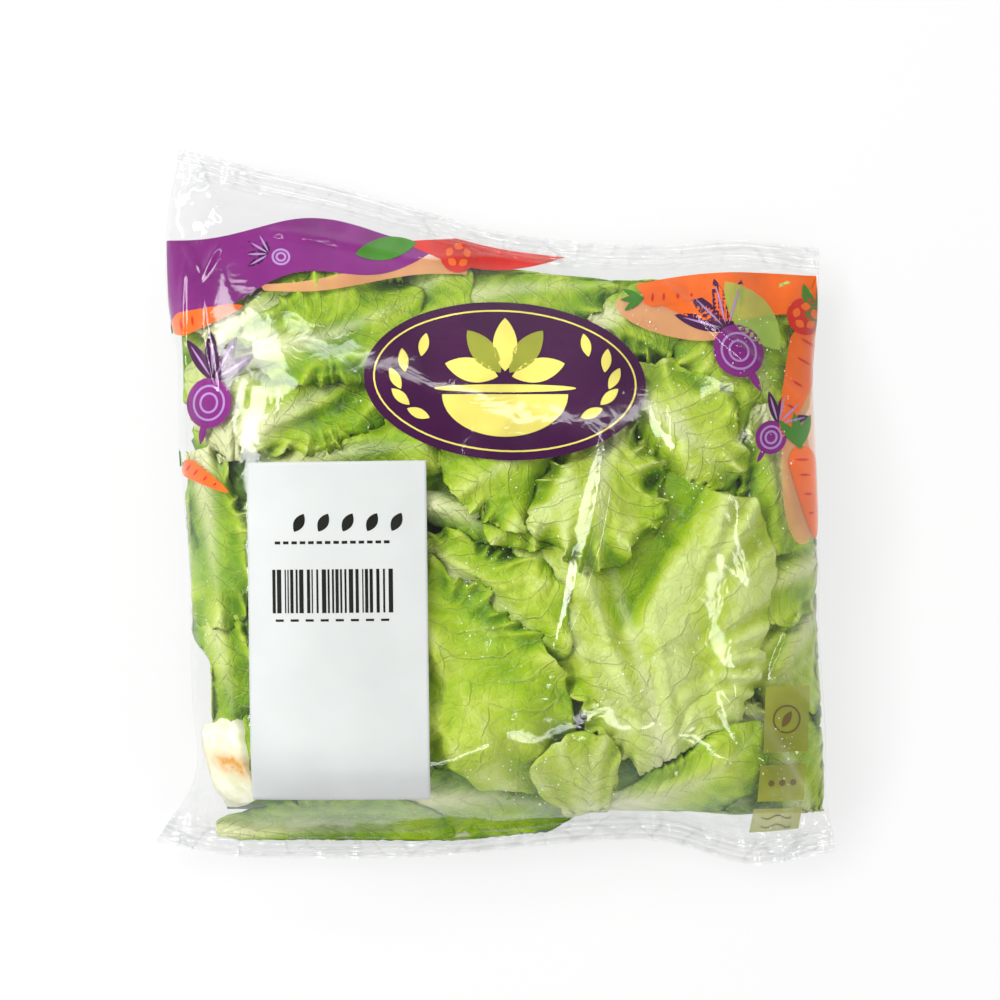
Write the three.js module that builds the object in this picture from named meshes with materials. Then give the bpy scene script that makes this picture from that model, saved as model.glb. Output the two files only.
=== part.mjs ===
// A clear pillow pack of lettuce leaves, lying on its back with its printed front up.
// Millimetres, +Z up, +Y towards the pack's top end. The origin is under the middle of the pack's
// box, on the surface that it lies on.

import * as THREE from "three";

// Edges of the pack seen from above. Each list gives evenly spaced stations along one edge:
// the top and bottom edges from left to right, the side edges from the bottom end to the top end.
const TOP_EDGE_Y = [127.5, 120.9, 114.6, 106.9, 99.2, 95.4, 94.3, 96.1, 93];
const BOTTOM_EDGE_Y = [-117, -122, -122.6, -122.2, -119.6, -116.7, -116.9, -124.8, -120.2];
const LEFT_EDGE_X = [-119.5, -105.4, -107.3, -108.7, -109.5, -111.5, -113, -114, -117, -116, -111.5];
const RIGHT_EDGE_X = [119.5, 117.4, 117.1, 115.6, 114.8, 115.2, 114.3, 113.2, 112.9, 114.5, 114];
const CORNER_PULL = 3;
const CORNER_REACH = 9;

// Heights above the surface that the pack lies on
const FRONT_HEIGHT = 54;
const SIDE_FOLD_HEIGHT = 17;
const TOP_SEAL = { height: 10, wave: 2.6, turns: 1.4, start: 0.9 };
const BOTTOM_SEAL = { height: 9, wave: 2.6, turns: 1.7, start: 2.4 };

// How far from a seal the film takes to reach its full height, how round it rises there, and how
// far from the end the side fold takes to come down to the height of the seal
const TOP_RISE = 96;
const TOP_ROUNDNESS = 1.9;
const TOP_FOLD_REACH = 67;
const BOTTOM_RISE = 34;
const BOTTOM_ROUNDNESS = 2.7;
const BOTTOM_FOLD_REACH = 44;

// How square the cross-section is, and how far past flat the contents would press the back
const FRONT_SQUARENESS = 3.4;
const BACK_SQUARENESS = 5;
const SIDE_ROUNDNESS = 0.55;
const BACK_OVERFILL = 1.25;

// Crimped end seals
const SEAL_DEPTH = 10;
const FILM_EDGE_THICKNESS = 0.9;
const CRIMP_PITCH = 3.2;
const CRIMP_HEIGHT = 0.35;

// Gathers run in from the seals, at a pitch that wanders across the pack
const GATHER_HEIGHT = 2.3;
const GATHER_PITCH = 19;
const GATHER_REACH = 20;
const GATHER_START = 5;
const GATHER_WANDER = 1.6;
const GATHER_WANDER_PITCH = 145;

// Leaves press the film out from inside in waves. A heading is in degrees from +X.
const LEAF_WAVES = [
  { height: 1.0, pitch: 88, heading: 24, start: 0.6 },
  { height: 0.9, pitch: 69, heading: -48, start: 2.2 },
  { height: 0.8, pitch: 53, heading: 97, start: 4.1 },
  { height: 0.5, pitch: 37, heading: 62, start: 1.3 },
  { height: 0.4, pitch: 31, heading: -15, start: 5.2 },
];

// Long creases that stand up on the front
const CREASE_WIDTH = 6;
const CREASE_HEIGHT = 2.4;
const CREASES = [
  { from: [36, 27], to: [17, -61] },
  { from: [60, 47], to: [66, 10] },
  { from: [-19, 92], to: [45, 72] },
];

// White paper label on the lower left of the front, with smooth film under it and round it
const LABEL_WIDTH = 62;
const LABEL_LENGTH = 117;
const LABEL_THICKNESS = 0.4;
const LABEL_GAP = 0.35;
const LABEL_CENTRE = [-54, -42.6];
const LABEL_TURN = 0.012;
const LABEL_BORDER = 7;
const LABEL_BLEND = 12;

// Steps of the meshes
const COLUMNS = 44;
const BODY_ROWS = 36;
const SEAL_ROWS = 6;
const LABEL_COLUMNS = 10;
const LABEL_ROWS = 40;
const EDGE_BUNCHING = 0.6;
const SHARE_SEARCH_TURNS = 6;

const ROWS = BODY_ROWS + 2 * SEAL_ROWS;
const FULL_TURN = 2 * Math.PI;

function clamp01(t) {
  return THREE.MathUtils.clamp(t, 0, 1);
}

function smooth(t) {
  return THREE.MathUtils.smoothstep(t, 0, 1);
}

function bell(distance, width) {
  return Math.exp(-((distance / width) ** 2));
}

// The value at a share t of an edge, on a smooth curve through its stations.
function edgeThrough(stations) {
  const curve = new THREE.SplineCurve(stations.map((value, i) => new THREE.Vector2(i, value)));
  return (t) => curve.getPoint(clamp01(t)).y;
}

const topEdge = edgeThrough(TOP_EDGE_Y);
const bottomEdge = edgeThrough(BOTTOM_EDGE_Y);
const leftEdge = edgeThrough(LEFT_EDGE_X);
const rightEdge = edgeThrough(RIGHT_EDGE_X);

function lengthAt(across) {
  return topEdge(across) - bottomEdge(across);
}

// The place in plan of a share across and a share up the pack, before its corners are rounded.
function planPoint(across, up) {
  const x = THREE.MathUtils.lerp(leftEdge(up), rightEdge(up), across);
  const y = THREE.MathUtils.lerp(bottomEdge(across), topEdge(across), up);
  return [x, y];
}

// The shares across and up of a place in plan.
function sharesAt(x, y) {
  let across = 0.5;
  let up = 0.5;
  for (let turn = 0; turn < SHARE_SEARCH_TURNS; turn++) {
    up = clamp01((y - bottomEdge(across)) / lengthAt(across));
    across = clamp01((x - leftEdge(up)) / (rightEdge(up) - leftEdge(up)));
  }
  return [across, up];
}

// Draws the points near the four corners in, so that the corners are round.
function roundCorners([x, y]) {
  for (const across of [0, 1]) {
    for (const up of [0, 1]) {
      const corner = planPoint(across, up);
      const pull = CORNER_PULL * bell(Math.hypot(x - corner[0], y - corner[1]), CORNER_REACH);
      const reach = Math.hypot(corner[0], corner[1]);
      x -= (pull * corner[0]) / reach;
      y -= (pull * corner[1]) / reach;
    }
  }
  return [x, y];
}

// A rise from 0 at a seal to 1 at a distance of reach from it.
function riseFrom(distance, reach, roundness) {
  return 1 - (1 - clamp01(distance / reach)) ** roundness;
}

function fillAlong(fromBottom, fromTop) {
  const bottom = riseFrom(fromBottom - SEAL_DEPTH, BOTTOM_RISE, BOTTOM_ROUNDNESS);
  const top = riseFrom(fromTop - SEAL_DEPTH, TOP_RISE, TOP_ROUNDNESS);
  return bottom * top;
}

function fillAcross(across, squareness) {
  const offCentre = Math.abs(2 * across - 1);
  return (1 - offCentre ** squareness) ** SIDE_ROUNDNESS;
}

function sealHeight(seal, across) {
  return seal.height + seal.wave * Math.sin(seal.turns * FULL_TURN * across + seal.start);
}

// Height of the middle of the film's edge: the wavy seals at the ends, the fold at the sides.
function edgeHeight(across, fromBottom, fromTop) {
  const nearTop = 1 - smooth(fromTop / TOP_FOLD_REACH);
  const nearBottom = 1 - smooth(fromBottom / BOTTOM_FOLD_REACH);
  const side = SIDE_FOLD_HEIGHT * (1 - nearTop) * (1 - nearBottom);
  const top = sealHeight(TOP_SEAL, across) * nearTop;
  const bottom = sealHeight(BOTTOM_SEAL, across) * nearBottom;
  return side + top + bottom;
}

function crimp(fromEnd) {
  if (fromEnd > SEAL_DEPTH) return 0;
  const ends = smooth(fromEnd / CRIMP_PITCH) * smooth((SEAL_DEPTH - fromEnd) / CRIMP_PITCH);
  return CRIMP_HEIGHT * ends * Math.cos((FULL_TURN * fromEnd) / CRIMP_PITCH);
}

function gathers(x, fromEnd) {
  const inside = Math.max(fromEnd - SEAL_DEPTH, 0);
  const fade = smooth(inside / GATHER_START) * Math.exp(-inside / GATHER_REACH);
  const wander = GATHER_WANDER * Math.sin((FULL_TURN * x) / GATHER_WANDER_PITCH);
  return GATHER_HEIGHT * fade * Math.sin((FULL_TURN * x) / GATHER_PITCH + wander);
}

function leafBulges(x, y) {
  let total = 0;
  for (const { height, pitch, heading, start } of LEAF_WAVES) {
    const angle = THREE.MathUtils.degToRad(heading);
    const along = x * Math.cos(angle) + y * Math.sin(angle);
    total += height * Math.sin((FULL_TURN * along) / pitch + start);
  }
  return total;
}

function creases(x, y) {
  let total = 0;
  for (const { from, to } of CREASES) {
    const run = [to[0] - from[0], to[1] - from[1]];
    const along = (x - from[0]) * run[0] + (y - from[1]) * run[1];
    const share = along / (run[0] ** 2 + run[1] ** 2);
    if (share < 0 || share > 1) continue;
    const away = Math.hypot(x - from[0] - share * run[0], y - from[1] - share * run[1]);
    total += CREASE_HEIGHT * Math.sin(Math.PI * share) * bell(away, CREASE_WIDTH);
  }
  return total;
}

// A point of the label's own plane, in plan.
function labelToPlan(x, y) {
  const c = Math.cos(LABEL_TURN);
  const s = Math.sin(LABEL_TURN);
  return [LABEL_CENTRE[0] + c * x - s * y, LABEL_CENTRE[1] + s * x + c * y];
}

// 1 clear of the label and 0 under it, where the stiff paper keeps the film smooth.
function clearOfLabel(x, y) {
  const beyondX = Math.abs(x - LABEL_CENTRE[0]) - LABEL_WIDTH / 2 - LABEL_BORDER;
  const beyondY = Math.abs(y - LABEL_CENTRE[1]) - LABEL_LENGTH / 2 - LABEL_BORDER;
  return smooth(Math.max(beyondX, beyondY) / LABEL_BLEND);
}

function frontHeight(x, y, across, up) {
  const fromBottom = up * lengthAt(across);
  const fromTop = (1 - up) * lengthAt(across);
  const edge = edgeHeight(across, fromBottom, fromTop);
  const round = fillAcross(across, FRONT_SQUARENESS);
  const fill = fillAlong(fromBottom, fromTop) * round;
  const relief = leafBulges(x, y) * fill + creases(x, y) * Math.sqrt(fill);
  const folds = gathers(x, fromTop) + gathers(x + GATHER_PITCH / 3, fromBottom);
  const raised = (relief + folds * Math.sqrt(round)) * clearOfLabel(x, y);
  const crimps = crimp(fromBottom) + crimp(fromTop);
  return edge + FILM_EDGE_THICKNESS / 2 + (FRONT_HEIGHT - edge) * fill + raised + crimps;
}

function backHeight(x, y, across, up) {
  const fromBottom = up * lengthAt(across);
  const fromTop = (1 - up) * lengthAt(across);
  const edge = edgeHeight(across, fromBottom, fromTop);
  const fill = fillAlong(fromBottom, fromTop) * fillAcross(across, BACK_SQUARENESS);
  const crimps = crimp(fromBottom) + crimp(fromTop);
  const lowered = edge - FILM_EDGE_THICKNESS / 2 - edge * BACK_OVERFILL * fill;
  return Math.max(lowered + crimps, 0);
}

// Moves evenly spaced shares closer together at both ends.
function closeAtEnds(t) {
  return t - (EDGE_BUNCHING * Math.sin(FULL_TURN * t)) / FULL_TURN;
}

// Distance of a row from the bottom end. The rows are close in the seals and just inside them.
function rowDistance(row, length) {
  const fromTop = ROWS - row;
  if (row <= SEAL_ROWS) return (row / SEAL_ROWS) * SEAL_DEPTH;
  if (fromTop <= SEAL_ROWS) return length - (fromTop / SEAL_ROWS) * SEAL_DEPTH;
  return SEAL_DEPTH + (length - 2 * SEAL_DEPTH) * closeAtEnds((row - SEAL_ROWS) / BODY_ROWS);
}

// A closed solid between two height grids that share their plan: front, back and the rim between.
function slabGeometry(columns, rows, pointAt) {
  const positions = [];
  const faces = [];
  const perSide = (columns + 1) * (rows + 1);
  for (const side of ["front", "back"]) {
    for (let row = 0; row <= rows; row++) {
      for (let column = 0; column <= columns; column++) {
        positions.push(...pointAt(column / columns, row, side));
      }
    }
  }
  const front = (column, row) => row * (columns + 1) + column;
  const back = (column, row) => perSide + front(column, row);
  for (let row = 0; row < rows; row++) {
    for (let column = 0; column < columns; column++) {
      const corners = [[column, row], [column + 1, row], [column + 1, row + 1], [column, row + 1]];
      const [a, b, c, d] = corners.map((at) => front(...at));
      const [e, f, g, h] = corners.map((at) => back(...at));
      faces.push(a, b, c, a, c, d, e, g, f, e, h, g);
    }
  }
  const rim = [];
  for (let column = 0; column < columns; column++) rim.push([column, 0]);
  for (let row = 0; row < rows; row++) rim.push([columns, row]);
  for (let column = columns; column > 0; column--) rim.push([column, rows]);
  for (let row = rows; row > 0; row--) rim.push([0, row]);
  rim.forEach((here, i) => {
    const next = rim[(i + 1) % rim.length];
    faces.push(front(...next), front(...here), back(...here));
    faces.push(front(...next), back(...here), back(...next));
  });
  const geometry = new THREE.BufferGeometry();
  geometry.setAttribute("position", new THREE.Float32BufferAttribute(positions, 3));
  geometry.setIndex(faces);
  geometry.computeVertexNormals();
  return geometry;
}

// The filled pack: film, seals and contents as one solid.
function bagGeometry() {
  return slabGeometry(COLUMNS, ROWS, (share, row, side) => {
    const across = closeAtEnds(share);
    const up = rowDistance(row, lengthAt(across)) / lengthAt(across);
    const [x, y] = roundCorners(planPoint(across, up));
    const height = side === "front" ? frontHeight : backHeight;
    return [x, y, height(x, y, across, up)];
  });
}

// The label: a thin sheet that follows the front of the pack.
function labelGeometry() {
  return slabGeometry(LABEL_COLUMNS, LABEL_ROWS, (share, row, side) => {
    const alongX = (share - 0.5) * LABEL_WIDTH;
    const alongY = (row / LABEL_ROWS - 0.5) * LABEL_LENGTH;
    const [x, y] = labelToPlan(alongX, alongY);
    const [across, up] = sharesAt(x, y);
    const above = LABEL_GAP + (side === "front" ? LABEL_THICKNESS : 0);
    return [x, y, frontHeight(x, y, across, up) + above];
  });
}

const filmOverLeaves = new THREE.MeshStandardMaterial({
  color: 0xa4c250,
  roughness: 0.25,
  metalness: 0,
});

const labelPaper = new THREE.MeshStandardMaterial({
  color: 0xe9ebea,
  roughness: 0.55,
  metalness: 0,
});

const bag = new THREE.Mesh(bagGeometry(), filmOverLeaves);
bag.name = "bag";

const label = new THREE.Mesh(labelGeometry(), labelPaper);
label.name = "label";

// Moves both pieces together in plan, so that the origin is under the middle of the pack's box.
const onItsBack = new THREE.Group();
onItsBack.add(bag, label);
const middle = new THREE.Box3().setFromObject(onItsBack).getCenter(new THREE.Vector3());
onItsBack.position.set(-middle.x, -middle.y, 0);

const pack = new THREE.Group();
pack.add(onItsBack);

export default pack;
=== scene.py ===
"""A clear pillow pack of lettuce leaves, lying on its back: film, print, label and leaves.

Lengths are in millimetres until a mesh is made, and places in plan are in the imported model's frame.
"""

import math

import bmesh
import bpy
import numpy as np
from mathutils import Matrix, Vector
from mathutils.bvhtree import BVHTree


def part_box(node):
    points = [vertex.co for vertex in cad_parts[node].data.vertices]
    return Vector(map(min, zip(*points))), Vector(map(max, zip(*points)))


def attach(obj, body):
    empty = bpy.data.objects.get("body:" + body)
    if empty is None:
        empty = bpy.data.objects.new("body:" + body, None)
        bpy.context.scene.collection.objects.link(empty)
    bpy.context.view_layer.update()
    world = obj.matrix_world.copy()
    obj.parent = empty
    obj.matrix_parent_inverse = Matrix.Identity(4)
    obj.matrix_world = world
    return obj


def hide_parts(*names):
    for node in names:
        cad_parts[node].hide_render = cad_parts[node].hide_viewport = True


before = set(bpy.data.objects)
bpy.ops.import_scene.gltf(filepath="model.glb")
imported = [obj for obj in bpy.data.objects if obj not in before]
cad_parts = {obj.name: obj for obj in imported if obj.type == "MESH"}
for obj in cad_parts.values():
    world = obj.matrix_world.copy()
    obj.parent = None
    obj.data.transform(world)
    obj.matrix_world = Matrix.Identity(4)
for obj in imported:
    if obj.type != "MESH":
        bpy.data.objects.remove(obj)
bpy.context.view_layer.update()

MM = 0.001

# The photograph's scale at the front of the pack, and the pixel over the frame's origin
MM_PER_PIXEL = 0.35
ORIGIN_PIXEL = (495.5, 507.5)

# Edges of the pack seen from above, as evenly spaced stations, the same as in the solids
TOP_EDGE_Y = [127.5, 120.9, 114.6, 106.9, 99.2, 95.4, 94.3, 96.1, 93]
BOTTOM_EDGE_Y = [-117, -122, -122.6, -122.2, -119.6, -116.7, -116.9, -124.8, -120.2]
LEFT_EDGE_X = [-119.5, -105.4, -107.3, -108.7, -109.5, -111.5, -113, -114, -117, -116, -111.5]
RIGHT_EDGE_X = [119.5, 117.4, 117.1, 115.6, 114.8, 115.2, 114.3, 113.2, 112.9, 114.5, 114]
SEAL_DEPTH = 10

# Film
FLAT_WIDTH = 250
LENGTH_SLACK = 1.06
FILM_COLUMNS = 100
FILM_BODY_ROWS = 82
FILM_SEAL_ROWS = 11
FILM_BUNCHING = 0.35
FILM_LIFT = 0.5
SIM_SCALE = 10
SIM_FRAMES = 24
SIM_REACH = 7
CRIMP_PITCH = 1.9
CRIMP_HEIGHT = 0.28
CUT_TOOTH_PITCH = 2.4
CUT_TOOTH_DEPTH = 0.5

# Sharp creases in the film: ends in photograph pixels, and width of the long slope. Seen from
# the start, the long slope is on the right, or on the left if the width is negative.
CREASES = [
    {"start": (604, 424), "bend": (608, 508), "end": (541, 694), "width": 7.5},
    {"start": (660, 366), "bend": (668, 430), "end": (688, 490), "width": 8.5},
    {"start": (205, 300), "bend": (206, 350), "end": (222, 400), "width": 3.4},
    {"start": (186, 262), "bend": (183, 330), "end": (190, 440), "width": 3.4},
    {"start": (183, 243), "bend": (196, 258), "end": (204, 281), "width": 3.4},
    {"start": (204, 281), "bend": (212, 262), "end": (222, 243), "width": -3.4},
    {"start": (250, 232), "bend": (330, 236), "end": (420, 262), "width": -3.6},
    {"start": (385, 262), "bend": (500, 244), "end": (640, 266), "width": 4.0},
    {"start": (520, 240), "bend": (650, 262), "end": (806, 268), "width": -3.6},
    {"start": (190, 560), "bend": (198, 600), "end": (206, 660), "width": 3.6},
    {"start": (640, 262), "bend": (720, 330), "end": (800, 400), "width": 4.0},
    {"start": (764, 678), "bend": (790, 672), "end": (822, 640), "width": -4.8},
    {"start": (764, 676), "bend": (796, 684), "end": (826, 728), "width": -4.0},
    {"start": (766, 676), "bend": (734, 664), "end": (702, 688), "width": 3.8},
    {"start": (765, 676), "bend": (784, 640), "end": (798, 600), "width": -3.8},
    {"start": (748, 762), "bend": (784, 752), "end": (824, 758), "width": -3.4},
    {"start": (740, 806), "bend": (776, 798), "end": (820, 804), "width": -3.4},
    {"start": (625, 796), "bend": (674, 834), "end": (750, 802), "width": -4.0},
    {"start": (500, 790), "bend": (540, 812), "end": (612, 800), "width": -3.8},
    {"start": (300, 818), "bend": (420, 838), "end": (560, 826), "width": 3.6},
    {"start": (196, 700), "bend": (214, 760), "end": (240, 820), "width": 3.6},
]
CREASE_SLOPE = 0.45
LONG_SIDE_POWER = 1.6
SHORT_SIDE_POWER = 2
SHORT_SIDE_SHARE = 0.5

# Crumpled stretches of film: middle in pixels, reach and height of the crumples
CRUMPLES = [
    {"middle": (200, 170), "reach": 18, "height": 1.4},
    {"middle": (175, 830), "reach": 20, "height": 1.5},
    {"middle": (250, 846), "reach": 15, "height": 1.3},
    {"middle": (340, 850), "reach": 16, "height": 1.0},
    {"middle": (440, 850), "reach": 17, "height": 1.2},
    {"middle": (560, 848), "reach": 18, "height": 0.9},
    {"middle": (680, 848), "reach": 18, "height": 1.1},
    {"middle": (795, 850), "reach": 20, "height": 1.4},
    {"middle": (618, 826), "reach": 11, "height": 1.1},
    {"middle": (738, 824), "reach": 11, "height": 1.1},
    {"middle": (430, 222), "reach": 16, "height": 0.7},
    {"middle": (560, 246), "reach": 17, "height": 0.8},
    {"middle": (306, 430), "reach": 6, "height": 0.6},
]

# Label, the same as in the solids
LABEL_WIDTH = 62
LABEL_LENGTH = 117
LABEL_CENTRE = (-54, -42.6)
LABEL_TURN = 0.012
LABEL_BORDER = 4
LABEL_BLEND = 26
PAPER_THICKNESS = 0.2
PAPER_LIFT = 0.35

# Leaves
LEAF_GAP = 0.9
LEAF_THICKNESS = 0.35
LEAF_SIDE_ROOM = 2.0
LEAF_BOTTOM_ROOM = 5.0
LEAF_TOP_ROOM = 13
LEAF_TOP_Y = 86
LEAF_BASE_WIDTH = 0.22
TOP_LEAVES = 11
FILL_LEAVES = 22
BACK_LEAVES = 12
TOP_LEAF_STEP = 0.85
EDGE_LEAF_STEP = 1.05
HIDDEN_LEAF_STEP = 1.6
FRILL_PITCH = 11
VEIN_COUNT = 8
VEIN_SWEEP = 0.3
MAP_STEP = 1.0
CORE_BOTTOM_Y = -106.0
CORE_TOP_Y = 74.0
STEM_PIXEL = (243, 760)
STEM_CUT_PIXEL = (237, 763)

# Moisture
BEADS = 900
BEAD_RADIUS = 0.12
BEAD_GROWTH = 0.26

# Middle of the printed badge, and half its width and height with a margin
BADGE_PIXEL = (505, 382)
BADGE_REACH = (50, 29)

# Studio, in metres and watts
CAMERA_DISTANCE = 1.6
LIGHTS = [
    {"name": "key", "place": (-0.65, 0.7, 1.05), "size": (0.6, 0.5), "power": 9.5},
    {"name": "left_window", "place": (-1.05, 0.09, 1.05), "size": (1.0, 0.24), "power": 11},
    {"name": "right_window", "place": (1.0, 0.0, 1.0), "size": (0.9, 0.12), "power": 3.4},
    {"name": "low_window", "place": (0.1, -1.0, 1.05), "size": (1.1, 0.12), "power": 4},
    {"name": "top_window", "place": (0.1, 1.05, 1.0), "size": (1.0, 0.1), "power": 2.8},
]
SKY_STRENGTH = 0.9
SKY_LEVELS = [(0.0, 1.0), (0.2, 0.7), (0.5, 0.4), (0.9, 0.2), (1.0, 0.15)]


def from_pixel(px, py):
    """Place in plan of a pixel of the photograph."""
    x = (px - ORIGIN_PIXEL[0]) * MM_PER_PIXEL
    y = (ORIGIN_PIXEL[1] - py) * MM_PER_PIXEL
    return x, y


def to_pixel(x, y):
    """Pixel of the photograph of a place in plan."""
    return x / MM_PER_PIXEL + ORIGIN_PIXEL[0], ORIGIN_PIXEL[1] - y / MM_PER_PIXEL


def smooth(t):
    t = np.clip(t, 0, 1)
    return t * t * (3 - 2 * t)


def bell(distance, width):
    """1 at a distance of 0, falling smoothly past the width."""
    return np.exp(-((distance / width) ** 2))


def value_noise(x, y, pitch, seed):
    """Smooth random heights from -1 to 1, whose features are about a pitch apart."""
    cells = 64
    lattice = np.random.default_rng(seed).uniform(-1, 1, (cells, cells))
    gx, gy = x / pitch, y / pitch
    i, j = np.floor(gx).astype(int), np.floor(gy).astype(int)
    fx, fy = smooth(gx - i), smooth(gy - j)

    def corner(a, b):
        return lattice[(i + a) % cells, (j + b) % cells]

    low = corner(0, 0) * (1 - fx) + corner(1, 0) * fx
    high = corner(0, 1) * (1 - fx) + corner(1, 1) * fx
    return low * (1 - fy) + high * fy


def curve_through(start, bend, end, t):
    """Points and unit directions of a quadratic curve at the shares t."""
    a, b, c = (np.array(p, float) for p in (start, bend, end))
    t = np.asarray(t, float)[..., None]
    point = (1 - t) ** 2 * a + 2 * t * (1 - t) * b + t ** 2 * c
    run = 2 * (1 - t) * (b - a) + 2 * t * (c - b)
    return point, run / np.linalg.norm(run, axis=-1, keepdims=True)


# Outline of the pack

def edge_through(stations):
    """The value at a share of an edge, on the smooth curve through its stations."""
    points = np.array([stations[0], *stations, stations[-1]], float)

    def value(share):
        at = np.clip(share, 0, 1) * (len(stations) - 1)
        i = np.minimum(np.asarray(at).astype(int), len(stations) - 2)
        t = at - i
        before, here, after, beyond = (points[i + k] for k in range(4))
        leaving, arriving = (after - before) / 2, (beyond - here) / 2
        cubic = 2 * here - 2 * after + leaving + arriving
        square = 3 * after - 3 * here - 2 * leaving - arriving
        return ((cubic * t + square) * t + leaving) * t + here

    return value


top_edge = edge_through(TOP_EDGE_Y)
bottom_edge = edge_through(BOTTOM_EDGE_Y)
left_edge = edge_through(LEFT_EDGE_X)
right_edge = edge_through(RIGHT_EDGE_X)


def length_at(across):
    return top_edge(across) - bottom_edge(across)


def outline_shift():
    """How far the stations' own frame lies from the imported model's, in plan."""
    share = np.linspace(0, 1, 200)
    x = np.concatenate([left_edge(share), right_edge(share)])
    y = np.concatenate([top_edge(share), bottom_edge(share)])
    low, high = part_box("bag")
    middle = (low + high) / (2 * MM)
    return middle.x - (x.max() + x.min()) / 2, middle.y - (y.max() + y.min()) / 2


SHIFT_X, SHIFT_Y = outline_shift()


def plan_point(across, up):
    x = left_edge(up) + (right_edge(up) - left_edge(up)) * across
    y = bottom_edge(across) + length_at(across) * up
    return x + SHIFT_X, y + SHIFT_Y


def shares_at(x, y):
    """Shares across and up the pack of a place in plan, past 0 and 1 outside the outline."""
    across = np.full_like(x, 0.5)
    up = np.full_like(x, 0.5)
    for _ in range(6):
        up = (y - SHIFT_Y - bottom_edge(across)) / length_at(across)
        left = left_edge(up)
        across = (x - SHIFT_X - left) / (right_edge(up) - left)
    return across, up


def keep_inside(x, y, side_inset, bottom_inset, top_inset):
    """Moves places in plan inside the outline, by a soft limit at the insets."""
    across, up = shares_at(x, y)
    length = length_at(np.clip(across, 0, 1))
    side = side_inset / (right_edge(0.5) - left_edge(0.5))
    across = soft_limit(across, side, 1 - side)
    up = soft_limit(up, bottom_inset / length, 1 - top_inset / length)
    return plan_point(across, up)


def soft_limit(value, low, high):
    """Limits a value, and crowds what is past a limit into a thin stretch inside it."""
    crowd = 0.02
    over = np.maximum(value - (high - crowd), 0)
    under = np.maximum(low + crowd - value, 0)
    inner = np.clip(value, low + crowd, high - crowd)
    return inner + crowd * (1 - np.exp(-over / crowd)) - crowd * (1 - np.exp(-under / crowd))


def kept_above(value, low):
    """The value, with what is under the low limit crowded close below it."""
    return low + np.maximum(value - low, 0.1 * np.minimum(value - low, 0))


def clear_corner(x, y):
    """Moves places out of the empty film at the pack's lower left side."""
    return kept_above(x, -109 + 11 * smooth((-40 - y) / 16))


def clear_bottom(x, y):
    """Moves places out of the empty film at the right of the pack's bottom end."""
    return kept_above(y, -117 + 11 * smooth((x - 10) / 25))


def clear_of_label(x, y):
    """1 clear of the label and 0 under it, where the stiff paper keeps the film smooth."""
    beyond_x = np.abs(x - LABEL_CENTRE[0]) - LABEL_WIDTH / 2 - LABEL_BORDER
    beyond_y = np.abs(y - LABEL_CENTRE[1]) - LABEL_LENGTH / 2 - LABEL_BORDER
    return smooth(np.maximum(beyond_x, beyond_y) / LABEL_BLEND)


# Meshes and objects

def mesh_points(mesh):
    points = np.zeros(len(mesh.vertices) * 3, np.float32)
    mesh.vertices.foreach_get("co", points)
    return points.reshape(-1, 3).astype(float)


def set_mesh_points(mesh, points):
    mesh.vertices.foreach_set("co", np.asarray(points, np.float32).ravel())
    mesh.update()


def attribute_of(mesh, name):
    values = np.zeros(len(mesh.vertices), np.float32)
    mesh.attributes[name].data.foreach_get("value", values)
    return values.astype(float)


def add_attribute(mesh, name, values):
    layer = mesh.attributes.new(name, "FLOAT", "POINT")
    layer.data.foreach_set("value", np.asarray(values, np.float32))


def add_object(name, mesh, material=None):
    thing = bpy.data.objects.new(name, mesh)
    bpy.context.scene.collection.objects.link(thing)
    if material is not None:
        mesh.materials.append(material)
    mesh.polygons.foreach_set("use_smooth", np.ones(len(mesh.polygons), bool))
    return thing


def mesh_from(bm, name):
    mesh = bpy.data.meshes.new(name)
    bm.to_mesh(mesh)
    bm.free()
    return mesh


def add_two_sheets(bm, columns, rows):
    """Adds two flat grids that face apart. Returns the layer that is 1 in front and -1 behind."""
    facing = bm.verts.layers.float.new("facing")
    bmesh.ops.create_grid(bm, x_segments=columns, y_segments=rows, size=0.5)
    for v in bm.verts:
        v[facing] = 1
    behind = bmesh.ops.duplicate(bm, geom=bm.verts[:] + bm.edges[:] + bm.faces[:])["geom"]
    for v in behind:
        if isinstance(v, bmesh.types.BMVert):
            v[facing] = -1
    bmesh.ops.reverse_faces(bm, faces=[f for f in behind if isinstance(f, bmesh.types.BMFace)])
    return facing


def with_modifiers(thing):
    """A new mesh of an object with its modifiers applied."""
    graph = bpy.context.evaluated_depsgraph_get()
    graph.update()
    return bpy.data.meshes.new_from_object(thing.evaluated_get(graph))


def thicken(thing, thickness):
    """Gives a sheet its thickness, below the side that it shows."""
    wall = thing.modifiers.new("thickness", "SOLIDIFY")
    wall.thickness = thickness * MM
    wall.offset = -1


def finish_piece(thing):
    """Rides a piece on the pack's one body."""
    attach(thing, "root")
    return thing


# Materials

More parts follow.
